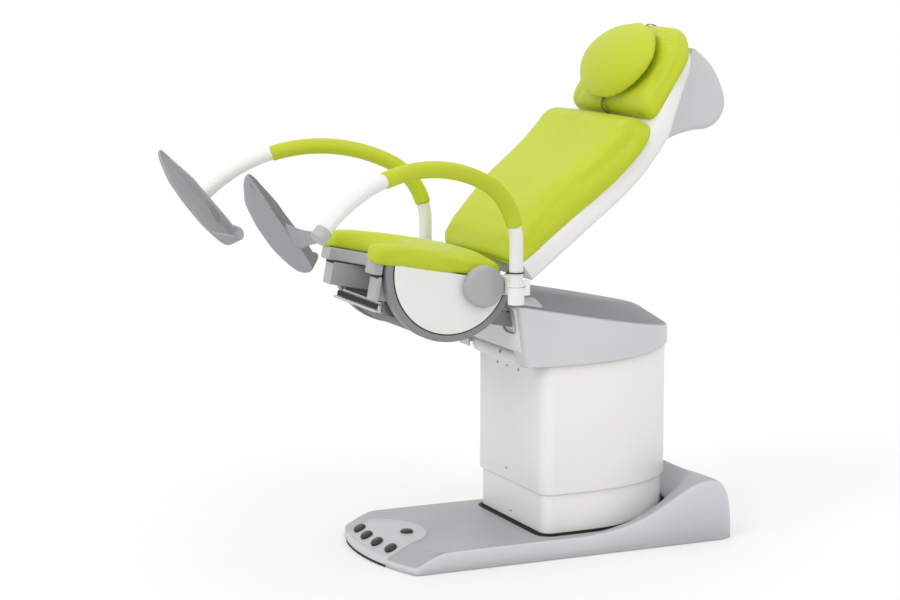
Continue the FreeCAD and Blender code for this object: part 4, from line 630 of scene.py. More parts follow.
# painted shadow: a black bar that follows the bow under the panel's front edge, where the gap lies in shade
gap = {"inset": 2, "proud": 0.4, "half": 1.5, "bottom": 1, "top": 7.5}
y = np.linspace(-panel["half"] + gap["inset"], panel["half"] - gap["inset"], 60) + panel["shift"]
section = rectangle((-gap["half"], gap["half"]), (gap["bottom"], gap["top"]))
gapRows = (np.column_stack([bowX(y) - gap["proud"], y, 0 * y])[:, None]
           + np.stack([section[:, 0], np.zeros(4), section[:, 1]], axis=-1))
settle(loft("panelGap", gapRows, sharp=30), "base", "seal_black")

button = {"radius": 18, "dome": 5, "edge": 3, "depth": 16, "crown": 0.55, "sunk": 0.2}
radius, edge = button["radius"], button["edge"]
turn = np.radians(np.linspace(0, 80, 8))
wall = np.column_stack([radius - edge * (1 - np.cos(turn)), edge * (np.sin(turn) - 0.4) - button["dome"]])
reach = np.linspace(radius - edge, 0, 10)
crown = np.column_stack([reach, -button["dome"] * button["crown"] * (reach / radius) ** 2 - button["sunk"]])
profile = np.vstack([[(0, -button["depth"])], [(radius, -button["depth"])], wall, crown])
for index, (box, centre) in enumerate(zip(buttonBoxes, buttonSpots), 1):
    axis = -np.array(joints[f"button_press_{index}"]["axis"], float)
    # half of the button's height: its box along the axis, less what the tilted disc adds
    half = 0.5 * ((box[1] - box[0]) @ np.abs(axis) - 2 * radius * abs(axis[0]))
    settle(revolve(f"footButton{index}", profile, centre + axis * half, axis, count=64), f"button_{index}",
           "button_black", f"foot_button_{index}")
print("control panel and buttons")


# lift column covers

def coverRows(grow, bottom, top):
    # wall of the column: outer face up, over a rounded top edge, down inside, and round the bottom
    wall, edge = column["wall"], column["edge"]
    small = edge * 0.3
    steps = [(0, bottom + edge), (0, top - edge), (small, top - small), (edge, top), (wall - 0.5, top),
             (wall, top - 1), (wall, bottom + 1), (wall - 0.5, bottom), (edge, bottom),
             (small, bottom + small)]
    return [np.column_stack([columnLoop(grow - inset), np.full(column["count"], float(height))])
            for inset, height in steps]


for name, node, body, grow in (("lowerColumnCover", "lower_column_cover", "base", -column["lowerInset"]),
                               ("upperColumnCover", "upper_column_cover", "lift", 0)):
    low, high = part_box(node)
    rows = coverRows(grow, low[2] / mm, high[2] / mm)
    settle(loft(name, rows, loop=True, sharp=50), body, "cover_white", node)


# head of the column

head = {"front": -276, "half": 232, "corner": 14, "setback": -60, "rear": 356, "edge": 717, "fall": 0.195,
        "crown": 44, "lean": 0.155, "plateauFront": -150, "plateauHalf": 100, "plateauRear": 262,
        "spine": (-100, 90), "bottom": 542, "bottomRadius": 4000, "bottomSetback": -100, "bay": 151,
        "bayTop": 579, "footRound": 1.5, "edgeRound": 9, "ridgeRound": 22, "wall": 5}


def headPlan(front, half, rear):
    # the column's kind of plan with the head's own corners
    return columnPlan(front, half, head["corner"], head["setback"], rear)


def onRoof(plan, lift):
    # a plan laid on the sloping roof plane, which falls to the rear
    return np.column_stack([plan, head["edge"] + lift - head["fall"] * (plan[:, 0] - head["front"])])


def headRows():
    # leaning wall from the bowed lower edge to the rim, hips up to the plateau, plateau closed on its spine
    footFront = head["front"] + head["lean"] * (head["edge"] - head["bottom"])
    foot = headPlan(footFront, head["half"], head["rear"])
    rim = headPlan(head["front"], head["half"], head["rear"])
    plateau = headPlan(head["plateauFront"], head["plateauHalf"], head["plateauRear"])
    spine = np.column_stack([np.clip(plateau[:, 0], *head["spine"]), np.zeros(len(plateau))])
    bow = head["bottomRadius"]
    low = head["bottom"] + bow - np.sqrt(bow ** 2 - (foot[:, 0] - head["bottomSetback"]) ** 2)
    ahead = foot[:, 0] < footFront + 1
    low = np.where(ahead & (np.abs(foot[:, 1]) < head["bay"]), head["bayTop"], low)
    foot[:, 0] -= np.where(ahead, head["lean"] * (low - head["bottom"]), 0)
    loops = [np.column_stack([foot * 0.99, low]), np.column_stack([foot, low]), onRoof(rim, 0),
             onRoof(plateau, head["crown"]), onRoof(spine, head["crown"])]
    return roundedRows(loops, [head["footRound"], head["edgeRound"], head["ridgeRound"]])


headCover = thicken(loft("headCover", headRows(), caps=False, sharp=50), head["wall"])
settle(headCover, "lift", "head_shell", "head_cover")
# painted light: the grey front panel takes the lighter white finish, against the shade the seat casts on it
settle(softened("head_front_panel", "headFrontPanel", 1.6), "lift", "grey_plastic", "head_front_panel",
       finish="plastic_white")
for node, name, slot, width in (("front_lip", "frontLip", "plastic_white", 3.0),
                                ("slot_plate", "slotPlate", "panel_shell", 2.0),
                                ("slot_seals", "slotSeals", "grey_plastic", 0.8)):
    settle(softened(node, name, width), "lift", slot, node)
print("column and head")


# seat: everything here is worked out in the tilted frame of the seat

seat = {"tilt": 11.0, "pivotAlong": 93.0, "pivotDrop": 22.6, "panelRadius": 168, "face": 206, "panelDepth": 8,
        "panelEdge": 2.5, "panelMiddle": -70, "rimRadius": 190, "rimInner": 170.5, "rimFace": 204,
        "rimDepth": 33.7, "rimRound": 5, "lipRound": 1.5, "slack": 0.2}
# painted shade: black bars in the gaps, round the side panels (radius, out); over the front blocks and in the
# tray's mouth (along, across, above)
shadeBars = {"panel": [(167.9, 170.6), (200, 204.4)], "block": [(-205.4, -190), (136, 191), (-44.5, -36.4)],
         "mouth": [(-172.9, -165), (-147, 147), (-131, -117.6)]}
clampRing = {"inner": 19.3, "outer": 22.4, "height": 3, "gap": 0.2}
cap = {"radius": 58, "depth": 28, "round": 14, "dome": 3, "gap": 9, "back": 0.4, "backEdge": (1.5, 2)}
tilt = math.radians(seat["tilt"])
legSpot = jointSpot("leg_raise_right")
seatAhead = seat["pivotAlong"] * math.cos(tilt) - seat["pivotDrop"] * math.sin(tilt)
seatAbove = seat["pivotAlong"] * math.sin(tilt) + seat["pivotDrop"] * math.cos(tilt)
seatOrigin = np.array([legSpot[0] - seatAhead, 0, legSpot[2] + seatAbove])


def onSeat(points):
    # from the seat's own frame to the chair's: turned about Y by the tilt, then moved to the seat's origin
    x, y, z = np.moveaxis(np.asarray(points, float), -1, 0)
    return seatOrigin + np.stack([x * math.cos(tilt) + z * math.sin(tilt), y,
                                  z * math.cos(tilt) - x * math.sin(tilt)], axis=-1)


def halfDiscRows(sign):
    # half disc: outline inset for a rounded outer edge, then in to the middle of its flat top
    chord = np.linspace(1, -1, 61)[1:-1]
    shape = np.vstack([arcPoints((0, 0), 1, 180, 360, 121), np.stack([chord, np.zeros_like(chord)], axis=-1)])
    face, edge = seat["face"], seat["panelEdge"]
    steps = [(0, face - seat["panelDepth"]), (0, face - edge), (edge * 0.3, face - edge * 0.3), (edge, face)]
    rows = []
    for inset, out in steps:
        x, z = (shape * (seat["panelRadius"] - inset)).T
        rows.append(np.column_stack([x, np.full(len(shape), sign * out), z - seat["slack"]]))
    flat, middle = rows[-1], np.array([0, sign * face, seat["panelMiddle"]])
    rows += [flat + (middle - flat) * share for share in (0.25, 0.5, 0.75, 0.98)]
    return onSeat(np.array(rows))


def rimSection():
    # section of the ring, (radius, out): rounded outer corners, a small step at the panel's gap
    outer, inner, face = seat["rimRadius"], seat["rimInner"], seat["rimFace"]
    bend, lipBend = seat["rimRound"], seat["lipRound"]
    corner = arcPoints((outer - bend, face - bend), bend, 0, 90, 7)
    lip = arcPoints((inner + lipBend, face - lipBend), lipBend, 90, 180, 4)
    return np.vstack([[(outer, face - seat["rimDepth"])], corner, lip, [(inner, face - seat["rimDepth"])]])


def halfRingRows(section, sign, count=145):
    # section (radius, out) carried round the lower half of a circle on one side of the seat
    turn = np.linspace(np.pi, 2 * np.pi, count)[:, None]
    out = np.broadcast_to(sign * section[:, 1], (count, len(section)))
    rows = [section[:, 0] * np.cos(turn), out, section[:, 0] * np.sin(turn) - seat["slack"]]
    return onSeat(np.stack(rows, axis=-1))


def seatStrip(name, along, across, above, count=8):
    # bar across the seat: a rectangle with softened corners carried from side to side
    loop = evenLoop(rectangle(along, above), 48, 1)
    y = np.broadcast_to(np.linspace(*across, count)[:, None], (count, len(loop)))
    x, z = (np.broadcast_to(loop[:, axis], y.shape) for axis in (0, 1))
    return loft(name, onSeat(np.stack([x, y, z], axis=-1)), sharp=50)


def capProfile():
    # (radius, out): flat back with a small bevel, round edge, shallow dome
    inner = cap["radius"] - cap["round"]
    rounding = arcPoints((inner, cap["depth"] - cap["round"]), cap["round"], 0, 90, 10)
    reach = np.linspace(inner, 0, 10)[1:]
    crown = np.column_stack([reach, cap["depth"] + cap["dome"] * (1 - (reach / inner) ** 2)])
    bevel, rise = cap["backEdge"]
    flat = [(0, cap["back"]), (cap["radius"] - bevel, cap["back"]), (cap["radius"], rise)]
    return np.vstack([flat, rounding, crown])


for side, sign in sides.items():
    settle(loft(f"sidePanel_{side}", halfDiscRows(sign), sharp=40), "seat", "plastic_white",
           f"side_panel_{side}")
    settle(loft(f"sideRim_{side}", halfRingRows(rimSection(), sign), sharp=40), "seat", "grey_plastic",
           f"side_rim_{side}", finish="rim_grey")
    # painted shade: a black ring deep in the gap round the side panel
    settle(loft(f"panelShadeRing_{side}", halfRingRows(rectangle(*shadeBars["panel"]), sign), sharp=40), "seat",
           "seal_black")
    # painted shadow: a black bar in the gap over the front block
    along, across, above = shadeBars["block"]
    settle(seatStrip(f"blockShadeBar_{side}", along, [sign * y for y in across], above), "seat", "seal_black")
    settle(softened(f"front_block_{side}", f"frontBlock_{side}", 5.0, 4), "seat", "grey_plastic",
           f"front_block_{side}")
    settle(softened(f"leg_bracket_{side}", f"legBracket_{side}", 2.2), f"leg_{side}", "plastic_white",
           f"leg_bracket_{side}")
    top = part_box(f"leg_bracket_{side}")[1][2] / mm
    spot = jointSpot(f"arm_swivel_{side}")
    ring = rectangle((clampRing["inner"], clampRing["outer"]), (0, clampRing["height"]))
    ringFoot = (spot[0], spot[1], top + clampRing["gap"])
    settle(revolve(f"clampRing_{side}", ring, ringFoot, (0, 0, 1), count=64), f"leg_{side}", "seal_black")
    spot = jointSpot(f"leg_raise_{side}")
    face = (spot[0], sign * (abs(spot[1]) + cap["gap"]), spot[2])
    settle(revolve(f"pivotCap_{side}", capProfile(), face, (0, sign, 0), sharp=45), f"leg_{side}",
           "grey_plastic", f"pivot_cap_{side}")
settle(softened("seat_rim", "seatRim", 5.0, 4), "seat", "grey_plastic", "seat_rim")
settle(softened("tray_front", "trayFront", 2.5), "tray", "tray_steel", "tray_front")
# painted shade: a black bar in the tray's mouth
settle(seatStrip("trayMouthShade", *shadeBars["mouth"]), "tray", "seal_black")
print("seat shells")


# leg supports: straight post, knee bend, long arch and a straight end, in one leaning plane

arm = {"radius": 19, "splay": 15, "knee": 195, "kneeTurn": 64.5, "arch": 467, "archTurn": 68.9, "end": 32,
       "endGap": 0.4, "sleeve": 22.5, "sleeveGap": 0.4, "sleeveStart": 15, "sleeveEnd": 42.5,
       "sleeveRound": 3}


def armLine(side, sign, fromKnee, toArch, post, end):
    # points of the bent tube: each bend is an arc of the angle from the vertical
    spot = jointSpot(f"arm_swivel_{side}")
    ahead = np.array([-math.cos(math.radians(arm["splay"])), sign * math.sin(math.radians(arm["splay"]))])
    knee = np.radians(np.linspace(fromKnee, arm["kneeTurn"], 40))
    first = math.radians(arm["kneeTurn"])
    arch = np.radians(np.linspace(arm["kneeTurn"], arm["kneeTurn"] + toArch, 70))[1:]
    kneeForward, kneeHeight = arm["knee"] * (1 - np.cos(knee)), arm["knee"] * np.sin(knee)
    archForward = kneeForward[-1] + arm["arch"] * (math.cos(first) - np.cos(arch))
    archHeight = kneeHeight[-1] + arm["arch"] * (np.sin(arch) - math.sin(first))
    forward, height = np.concatenate([kneeForward, archForward]), np.concatenate([kneeHeight, archHeight])
    if post:
        forward = np.concatenate([np.zeros(8), forward[1:]])
        height = np.concatenate([np.linspace(-post, 0, 8), height[1:]])
    if end:
        steps = np.linspace(0, end, 5)[1:]
        forward = np.concatenate([forward, forward[-1] + steps * math.sin(arch[-1])])
        height = np.concatenate([height, height[-1] + steps * math.cos(arch[-1])])
    points = np.column_stack([spot[0] + forward * ahead[0], spot[1] + forward * ahead[1], spot[2] + height])
    return points, np.array([ahead[1], -ahead[0], 0])


def sleeveRadius(path):
    # full radius, with a quarter round down to the tube at both ends
    length = lengths(path)
    nearest = np.clip(np.minimum(length, length[-1] - length) / arm["sleeveRound"], 0, 1)
    easing = np.maximum(np.sqrt(1 - (1 - nearest) ** 2), 0.02)
    inner = arm["radius"] + arm["sleeveGap"]
    return inner + (arm["sleeve"] - inner) * easing


for side, sign in sides.items():
    postLength = jointSpot(f"arm_swivel_{side}")[2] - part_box(f"arm_tube_{side}")[0][2] / mm
    path, across = armLine(side, sign, 0, arm["archTurn"], postLength, arm["end"] - arm["endGap"])
    settle(sweep(f"armTube_{side}", path, across, ringSection(arm["radius"])), f"arm_{side}", "tube_white",
           f"arm_tube_{side}")
    path, across = armLine(side, sign, arm["sleeveStart"], arm["sleeveEnd"], 0, 0)
    profile = ringSection(1.0)[None] * sleeveRadius(path)[:, None, None]
    sleeve = sweep(f"armSleeve_{side}", path, across, profile, sharp=60)
    settle(sleeve, f"arm_{side}", "pad_green", f"arm_sleeve_{side}")
print("leg supports")


# backrest

back = {"startX": 19.1, "startZ": 72.3, "angle": 37.5, "run": 330, "bendRadius": 635, "bend": 20.5,
        "headRun": 268, "depth": 60, "topDepth": 26, "half": 254, "topHalf": 226, "corner": 110,
        "sideRound": 20, "shellStart": 8, "lip": [(-4, 0.0), (-1, 0.6), (0, 3.0)]}
bendLength = math.radians(back["bend"]) * back["bendRadius"]
bendEnd = back["run"] + bendLength
backLength = bendEnd + back["headRun"]
backFoot = jointSpot("back_recline") + np.array([back["startX"], 0, back["startZ"]])


def backFrame(along):
    # parting line of the backrest: straight, an arc, straight; its points, heading and rear normal
    along = np.asarray(along, float)
    first = math.radians(back["angle"])
    last = first + math.radians(back["bend"])
    angle = first + np.clip(along - back["run"], 0, bendLength) / back["bendRadius"]
    low, high, radius = np.minimum(along, back["run"]), np.maximum(along - bendEnd, 0), back["bendRadius"]
    x = low * math.cos(first) + radius * (np.sin(angle) - math.sin(first)) + high * math.cos(last)
    z = low * math.sin(first) + radius * (math.cos(first) - np.cos(angle)) + high * math.sin(last)
    zero = np.zeros_like(x)
    return (np.stack([backFoot[0] + x, zero, backFoot[2] + z], axis=-1),
            np.stack([np.cos(angle), zero, np.sin(angle)], axis=-1),
            np.stack([np.sin(angle), zero, -np.cos(angle)], axis=-1))


def shellDepth(along):
    # depth of the shell behind the parting line: full, then thinner towards the head end
    return np.interp(along, [bendEnd, backLength], [back["depth"], back["topDepth"]])


def shellRows():
    # tub section: flat front, sides that turn into the back with a large round; round top corners
    corner = back["corner"]
    along = np.concatenate([np.linspace(back["shellStart"], backLength - corner, 60)[:-1],
                            backLength - corner + corner * np.sin(np.linspace(0, np.pi / 2, 24))])
    along[-1] -= 0.2
    spot, _, behind = backFrame(along)
    half = np.interp(along, [0, bendEnd, backLength - corner], [back["half"], back["half"], back["topHalf"]])
    tip = np.clip((along - backLength + corner) / corner, 0, 1)
    half = half - corner * (1 - np.sqrt(1 - tip ** 2))
    turn = np.radians(np.linspace(0, 90, 10))
    rows = []
    for place, normal, wide, deep in zip(spot, behind, half, shellDepth(along)):
        bend = min(back["sideRound"], deep * 0.7, wide * 0.9)
        side = np.column_stack([wide - bend * (1 - np.cos(turn)), deep - bend + bend * np.sin(turn)])
        halfLoop = np.vstack([np.array(back["lip"]) + [wide, 0], side])
        loop = np.vstack([halfLoop, (halfLoop * [-1, 1])[::-1]])
        rows.append(place + loop[:, :1] * np.array([0, 1, 0]) + loop[:, 1:] * normal)
    return rows


settle(loft("backShell", shellRows(), sharp=45), "backrest", "plastic_white", "back_shell")

# the rear cover's side view: (share of the head's run, share of the reach) where its arcs start, bulge, end
rear = {"half": 186, "round": 26, "roundRun": 60, "reach": 154, "lowAlong": bendEnd - 110,
        "highAlong": backLength - 4, "sunk": 4, "hollow": (-0.06, 0.15), "lower": (0.3, 0.72),
        "belly": (0.55, 1.0), "upper": (0.79, 0.78), "over": (0.93, 0.4), "tip": 0.22}


def besideBack(along, deep):
    # side view: a place along the parting line, and behind it
    spot, _, behind = backFrame(along)
    return (spot + behind * deep)[[0, 2]]


def rearSpot(name):
    # one of the rear cover's named places in the side view
    share, deep = rear[name]
    return besideBack(bendEnd + share * back["headRun"], back["depth"] + deep * rear["reach"])


def rearRows():
    # side view: a hollow curve out from the shell, round the belly, over to the head end; the sides are
    # rounded by drawing the outline in, the more the further it stands off the shell
    top = shellDepth(rear["highAlong"])
    low = besideBack(rear["lowAlong"], back["depth"] - rear["sunk"])
    high = besideBack(rear["highAlong"], top - rear["sunk"])
    tip = besideBack(rear["highAlong"], top + rear["tip"] * rear["reach"])
    names = ("hollow", "lower", "belly", "upper", "over")
    hollow, lower, belly, upper, over = (rearSpot(name) for name in names)
    outline = np.vstack([arcThrough(low, hollow, lower, 30), arcThrough(lower, belly, upper, 40)[1:],
                         arcThrough(upper, over, tip, 30)[1:], high[None]])
    loop = evenLoop(outline, 260, blend=5)
    chord = unit(high - low)
    stood = np.abs((loop - low) @ np.array([chord[1], -chord[0]]))
    inset = rear["round"] * np.clip(stood / rear["roundRun"], 0, 1)[:, None]
    outward = loopNormals(loop)
    outward *= np.sign(np.sum(outward * (loop - loop.mean(axis=0))))
    turn = np.radians(np.linspace(0, 90, 12))
    y = -rear["half"] + rear["round"] * (1 - np.cos(turn))
    share = 1 - np.sin(turn)
    rows = []
    for out, drawn in zip([*y, *-y[::-1]], [*share, *share[::-1]]):
        flat = loop - outward * inset * drawn
        rows.append(np.column_stack([flat[:, 0], np.full(len(flat), out), flat[:, 1]]))
    return rows


settle(loft("rearCover", rearRows(), sharp=50), "backrest", "grey_plastic", "rear_cover",
       finish="panel_shell")
print("backrest shells")


# foot plates; outline: (along, outboard) corners of the sole, from the toe round the inner side and the heel

foot = {"outline": [(176, 4), (150, -20), (90, -46), (15, -51), (-60, -45), (-112, -31), (-152, -14),
                    (-168, 14), (-150, 38), (-95, 37), (-40, 30), (20, 22), (90, 19), (150, 16)],
        "thickness": 8, "rim": 6, "innerWall": 6, "outerWall": 26, "heelWall": 44, "flare": 0.12,
        "narrow": 0.7, "toeAxis": (-0.54, -0.22, 0.81), "outAxis": (0.683, -0.673, 0.277),
        "middle": (-64.6, 136.2, 13.5), "count": 240, "neckAlong": -46, "neckOut": 22, "neckUp": 13,
        "neckRoot": (46, 13), "neckSunk": 7, "collar": 23, "collarShift": 5, "collarLength": 33}
toeWay = unit(np.array(foot["toeAxis"]))
outWay = np.array(foot["outAxis"])
outWay = unit(outWay - toeWay * (outWay @ toeWay))
upWay = np.cross(toeWay, outWay)


def soleRows():
    # flat underside, a wall that is low inside and rises to the outer side and the heel, and a dished floor
    plan = evenLoop(np.array(foot["outline"], float), foot["count"], blend=9)
    outward = loopNormals(plan)
    outward *= np.sign(np.sum(outward * (plan - plan.mean(axis=0))))
    along, side = plan.T
    outerShare = fade(side, -20, 16) * fade(along, 160, 30)
    wall = foot["innerWall"] + (foot["outerWall"] - foot["innerWall"]) * outerShare
    wall = np.maximum(wall, foot["heelWall"] * fade(along, -85, -150))

    def level(inset, height):
        # the outline drawn in by inset, at a height
        return np.column_stack([plan - outward * inset, np.broadcast_to(height, len(plan))])
    top, lean = foot["thickness"] + wall, -foot["flare"] * wall[:, None]
    under, floor = level(10, 0.0), level(foot["rim"] + 4, foot["thickness"])
    toSpine = np.array([foot["narrow"], 0, 1])
    loops = [under * toSpine, under, level(0, 5.0), level(lean, top), level(foot["rim"] + lean, top), floor,
             floor * toSpine - [0, 0, 1.5]]
    return roundedRows(loops, [10, 5, 2.5, 2.5, 14], 5)


def neckRows(end, heading):
    # from an oval on the outer edge straight to the round collar, the oval flaring out towards its root
    root = end + np.array(foot["middle"])
    root = root + toeWay * foot["neckAlong"] + outWay * foot["neckOut"] + upWay * foot["neckUp"]
    start = end + heading * (foot["collarShift"] - foot["neckSunk"])
    first = unit(toeWay - heading * (toeWay @ heading))
    second = np.cross(heading, first)
    second *= np.sign(second @ upWay)
    ring = ringSection(1.0, 56)
    oval = toeWay * ring[:, :1] * foot["neckRoot"][0] + upWay * ring[:, 1:] * foot["neckRoot"][1]
    circle = (first * ring[:, :1] + second * ring[:, 1:]) * (foot["collar"] - 1)
    share = np.linspace(0, 1, 24)[:, None, None]
    ease = 1 - (1 - share) ** 2
    return root + (start - root) * share + oval * (1 - ease) + circle * ease


def collarProfile():
    # (radius, along): open end with a soft edge, straight wall, rounded shoulder, closed top
    radius, length = foot["collar"], foot["collarLength"]
    return [(arm["radius"] + 0.5, 0), (radius - 3, 0), (radius - 0.8, 0.8), (radius, 3), (radius, length - 4),
            (radius - 1.2, length - 1.2), (radius - 4, length), (8, length + 1), (0, length + 1.2),
            (0, length - 5)]


for side, sign in sides.items():
    flip = np.array([1, -sign, 1])
    path = armLine(side, sign, 0, arm["archTurn"], 1, arm["end"])[0] * flip
    end, heading = path[-1], unit(path[-1] - path[-2])
    sole = (end + np.array(foot["middle"]) + soleRows() @ np.stack([toeWay, outWay, upWay])) * flip
    plate = loft(f"footPlate_{side}", sole, caps=False, sharp=50)
    settle(plate, f"foot_{side}", "foot_grey", f"foot_plate_{side}")
    # painted shade: outboard faces take a darker copy of the grey, its edges a painted highlight
    plate.data.materials.append(finishes["foot_painted_shade"])
    facing = np.empty(len(plate.data.polygons) * 3)
    plate.data.polygons.foreach_get("normal", facing)
    outboard = facing.reshape(-1, 3) @ (outWay * flip) > 0.5
    plate.data.polygons.foreach_set("material_index", outboard.astype(np.int32))
    settle(loft(f"footNeck_{side}", neckRows(end, heading) * flip, sharp=60), f"foot_{side}", "foot_grey",
           f"foot_socket_{side}")
    collarFoot = end + heading * (foot["collarShift"] + 2 - foot["collarLength"])
    settle(revolve(f"footCollar_{side}", collarProfile(), collarFoot * flip, heading * flip), f"foot_{side}",
           "foot_grey", finish="socket_grey")
print("foot plates")


# cushions: the CAD solid copied, remeshed evenly, relaxed, shaped, then swollen as cloth under air pressure

firm = {"voxel": 5, "held": 4, "relax": 8, "pressure": 4, "cap": 5, "fill": 0.85, "frames": 20,
        "settleRounds": 3}
loose = {**firm, "held": -1000, "relax": 6}
# how each pad departs from its plain solid: thickness along it, and a lower edge drawn out over its carrier
seatPad = {"thicker": 1.12, "sides": 0.2, "half": 204, "nose": 0.1, "noseRun": (150, 230),
           "longRun": (110, 230), "wider": 8, "wideRun": (60, 200), "frontRun": (-30, 30), "longer": 6,
           "lap": 7, "lapHeight": 30, "edge": (140, 195)}
backPad = {"stations": [-20, 30, 60, 110, 180, 240, 300, 420, 561],
           "thickness": [0.35, 0.5, 0.62, 0.75, 0.9, 1.0, 1.02, 0.98, 0.95], "middle": 1.1, "sides": 0.2,
           "wider": 14, "footWider": 12, "footRun": (0, 150), "longer": 14, "longRun": (0, 90), "lap": 5,
           "lapHeight": 35, "edge": (170, 235)}
headPad = {"cornerRun": (110, 225), "topRun": (backLength - 100, backLength + 33), "cornerDrop": 30,
           "wider": 10, "lap": 4, "lapHeight": 30, "edge": (150, 210)}
pillowPad = {"aside": -10, "deeper": 5}


def readPoints(mesh):
    # the mesh's points as rows of xyz, in metres
    points = np.empty(len(mesh.vertices) * 3)
    mesh.vertices.foreach_get("co", points)
    return points.reshape(-1, 3)


def writePoints(mesh, points):
    mesh.vertices.foreach_set("co", points.ravel())
    mesh.update()


def relax(mesh, rounds, keep):
    # every point moves half way to the mean of its neighbours; points that keep marks stay
    points = readPoints(mesh)
    ends = np.empty(len(mesh.edges) * 2, int)
    mesh.edges.foreach_get("vertices", ends)
    first, second = ends.reshape(-1, 2).T
    count = np.bincount(np.concatenate([first, second]), minlength=len(points))[:, None]
    for step in range(rounds):
        total = np.zeros_like(points)
        np.add.at(total, first, points[second])
        np.add.at(total, second, points[first])
        points = np.where(keep[:, None], points, points + 0.5 * (total / count - points))
    writePoints(mesh, points)


def evaluated(thing):
    # the piece with its modifiers worked out
    return thing.evaluated_get(bpy.context.evaluated_depsgraph_get())


def swell(thing, feel, held):
    # cloth under pressure with its underside held; each point keeps its move up to the cap
    start = readPoints(thing.data)
    group = thing.vertex_groups.new(name="held")
    group.add(np.flatnonzero(held).tolist(), 1.0, "REPLACE")
    cloth = thing.modifiers.new("filling", "CLOTH")
    cloth.settings.use_pressure = True
    cloth.settings.uniform_pressure_force = feel["pressure"]
    cloth.settings.effector_weights.gravity = 0
    cloth.settings.vertex_group_mass = "held"
    cloth.settings.quality = 4
    for number in range(1, feel["frames"] + 1):
        scene.frame_set(number)
    move = readPoints(evaluated(thing).data) - start
    thing.modifiers.clear()
    scene.frame_set(1)
    move *= np.minimum(1, feel["cap"] * mm / np.maximum(np.linalg.norm(move, axis=1, keepdims=True), 1e-9))
    writePoints(thing.data, start + move)
    relax(thing.data, feel["settleRounds"], held)
    thing.vertex_groups.clear()


def cushion(node, name, body, feel, spots, form):
    # spots gives along, across and above, so the underside is where above is small
    thing = plainCopy(node, name)
    even = thing.modifiers.new("evenGrid", "REMESH")
    even.mode = "VOXEL"
    even.voxel_size = feel["voxel"] * mm
    mesh = bpy.data.meshes.new_from_object(evaluated(thing))
    thing.modifiers.clear()
    thing.data = mesh
    held = spots(readPoints(mesh) / mm)[2] < feel["held"]
    relax(mesh, feel["relax"], np.zeros(len(held), bool))
    writePoints(mesh, form(readPoints(mesh) / mm) * mm)
    swell(thing, feel, held)
    shadeSmooth(thing.data)
    settle(thing, body, "pad_green", node)
    print(name, len(thing.data.polygons), "faces")


def seatSpots(points):
    # along, across and above in the seat's own frame: the inverse of onSeat
    offset = points - seatOrigin
    return (offset[:, 0] * math.cos(tilt) - offset[:, 2] * math.sin(tilt), offset[:, 1],
            offset[:, 0] * math.sin(tilt) + offset[:, 2] * math.cos(tilt))


def backSpots(points):
    # along, across and in front of the backrest's parting line: nearest station, then the rest of the way
    along = np.linspace(-80, backLength + 80, 500)
    spot, ahead, behind = backFrame(along)
    aside, above = points[:, 0, None] - spot[:, 0], points[:, 2, None] - spot[:, 2]
    nearest = np.argmin(aside ** 2 + above ** 2, axis=1)
    offset = points - spot[nearest]
    return (along[nearest] + np.einsum("ij,ij->i", offset, ahead[nearest]), points[:, 1],
            -np.einsum("ij,ij->i", offset, behind[nearest]))


def onBack(along, across, front):
    # the inverse of backSpots: a station, then across and in front of it
    spot, _, behind = backFrame(along)
    return spot + across[:, None] * np.array([0, 1, 0]) - behind * front[:, None]


def lowEdge(across, above, pad):
    # 1 at the pad's lower side edges, fading out upwards and towards its middle
    return (1 - np.clip(above / pad["lapHeight"], 0, 1)) * fade(np.abs(across), *pad["edge"])


def seatForm(points):
    # thicker in the middle, lower at the nose; its front half is wider, longer and laps over the shell
    along, across, above = seatSpots(points)
    front = fade(-along, *seatPad["frontRun"])
    side = np.sign(across) * fade(np.abs(across), *seatPad["wideRun"]) * front
    nose = seatPad["nose"] * fade(-along, *seatPad["noseRun"])
    thick = seatPad["thicker"] - seatPad["sides"] * np.abs(across / seatPad["half"]) ** 3 - nose
    drop = lowEdge(across, above, seatPad) * front * seatPad["lap"]
    return onSeat(np.column_stack([along - seatPad["longer"] * fade(-along, *seatPad["longRun"]),
                                   across + side * seatPad["wider"], above * thick - drop]))


def backForm(points):
    # thin at its foot, fuller at the sides; its lower edge is drawn out and laps over the shell
    along, across, front = backSpots(points)
    wide = np.abs(across) / back["half"]
    low = lowEdge(across, front, backPad)
    thick = np.interp(along, backPad["stations"], backPad["thickness"])
    thick *= backPad["middle"] + backPad["sides"] * wide ** 2
    footShare = wide * (1 - fade(along, *backPad["footRun"]))
    side = np.sign(across) * (backPad["wider"] * low + backPad["footWider"] * footShare)
    return onBack(along - backPad["longer"] * (1 - fade(along, *backPad["longRun"])), across + side,
                  front * thick - low * backPad["lap"])


def headForm(points):
    # top corners drawn down, lower edge drawn out and lapped over the shell
    along, across, front = backSpots(points)
    low = lowEdge(across, front, headPad)
    corner = fade(np.abs(across), *headPad["cornerRun"]) * fade(along, *headPad["topRun"])
    return onBack(along - headPad["cornerDrop"] * corner, across + np.sign(across) * headPad["wider"] * low,
                  front - low * headPad["lap"])


def pillowForm(points):
    # hangs a little to one side and into the head pad's hollow
    along, across, front = backSpots(points)
    return onBack(along, across + pillowPad["aside"], front - pillowPad["deeper"])


cushion("seat_cushion", "seatCushion", "seat", firm, seatSpots, seatForm)
cushion("back_cushion", "backCushion", "backrest", firm, backSpots, backForm)
cushion("head_cushion", "headCushion", "backrest", firm, backSpots, headForm)
cushion("head_pillow", "headPillow", "pillow", loose, backSpots, pillowForm)

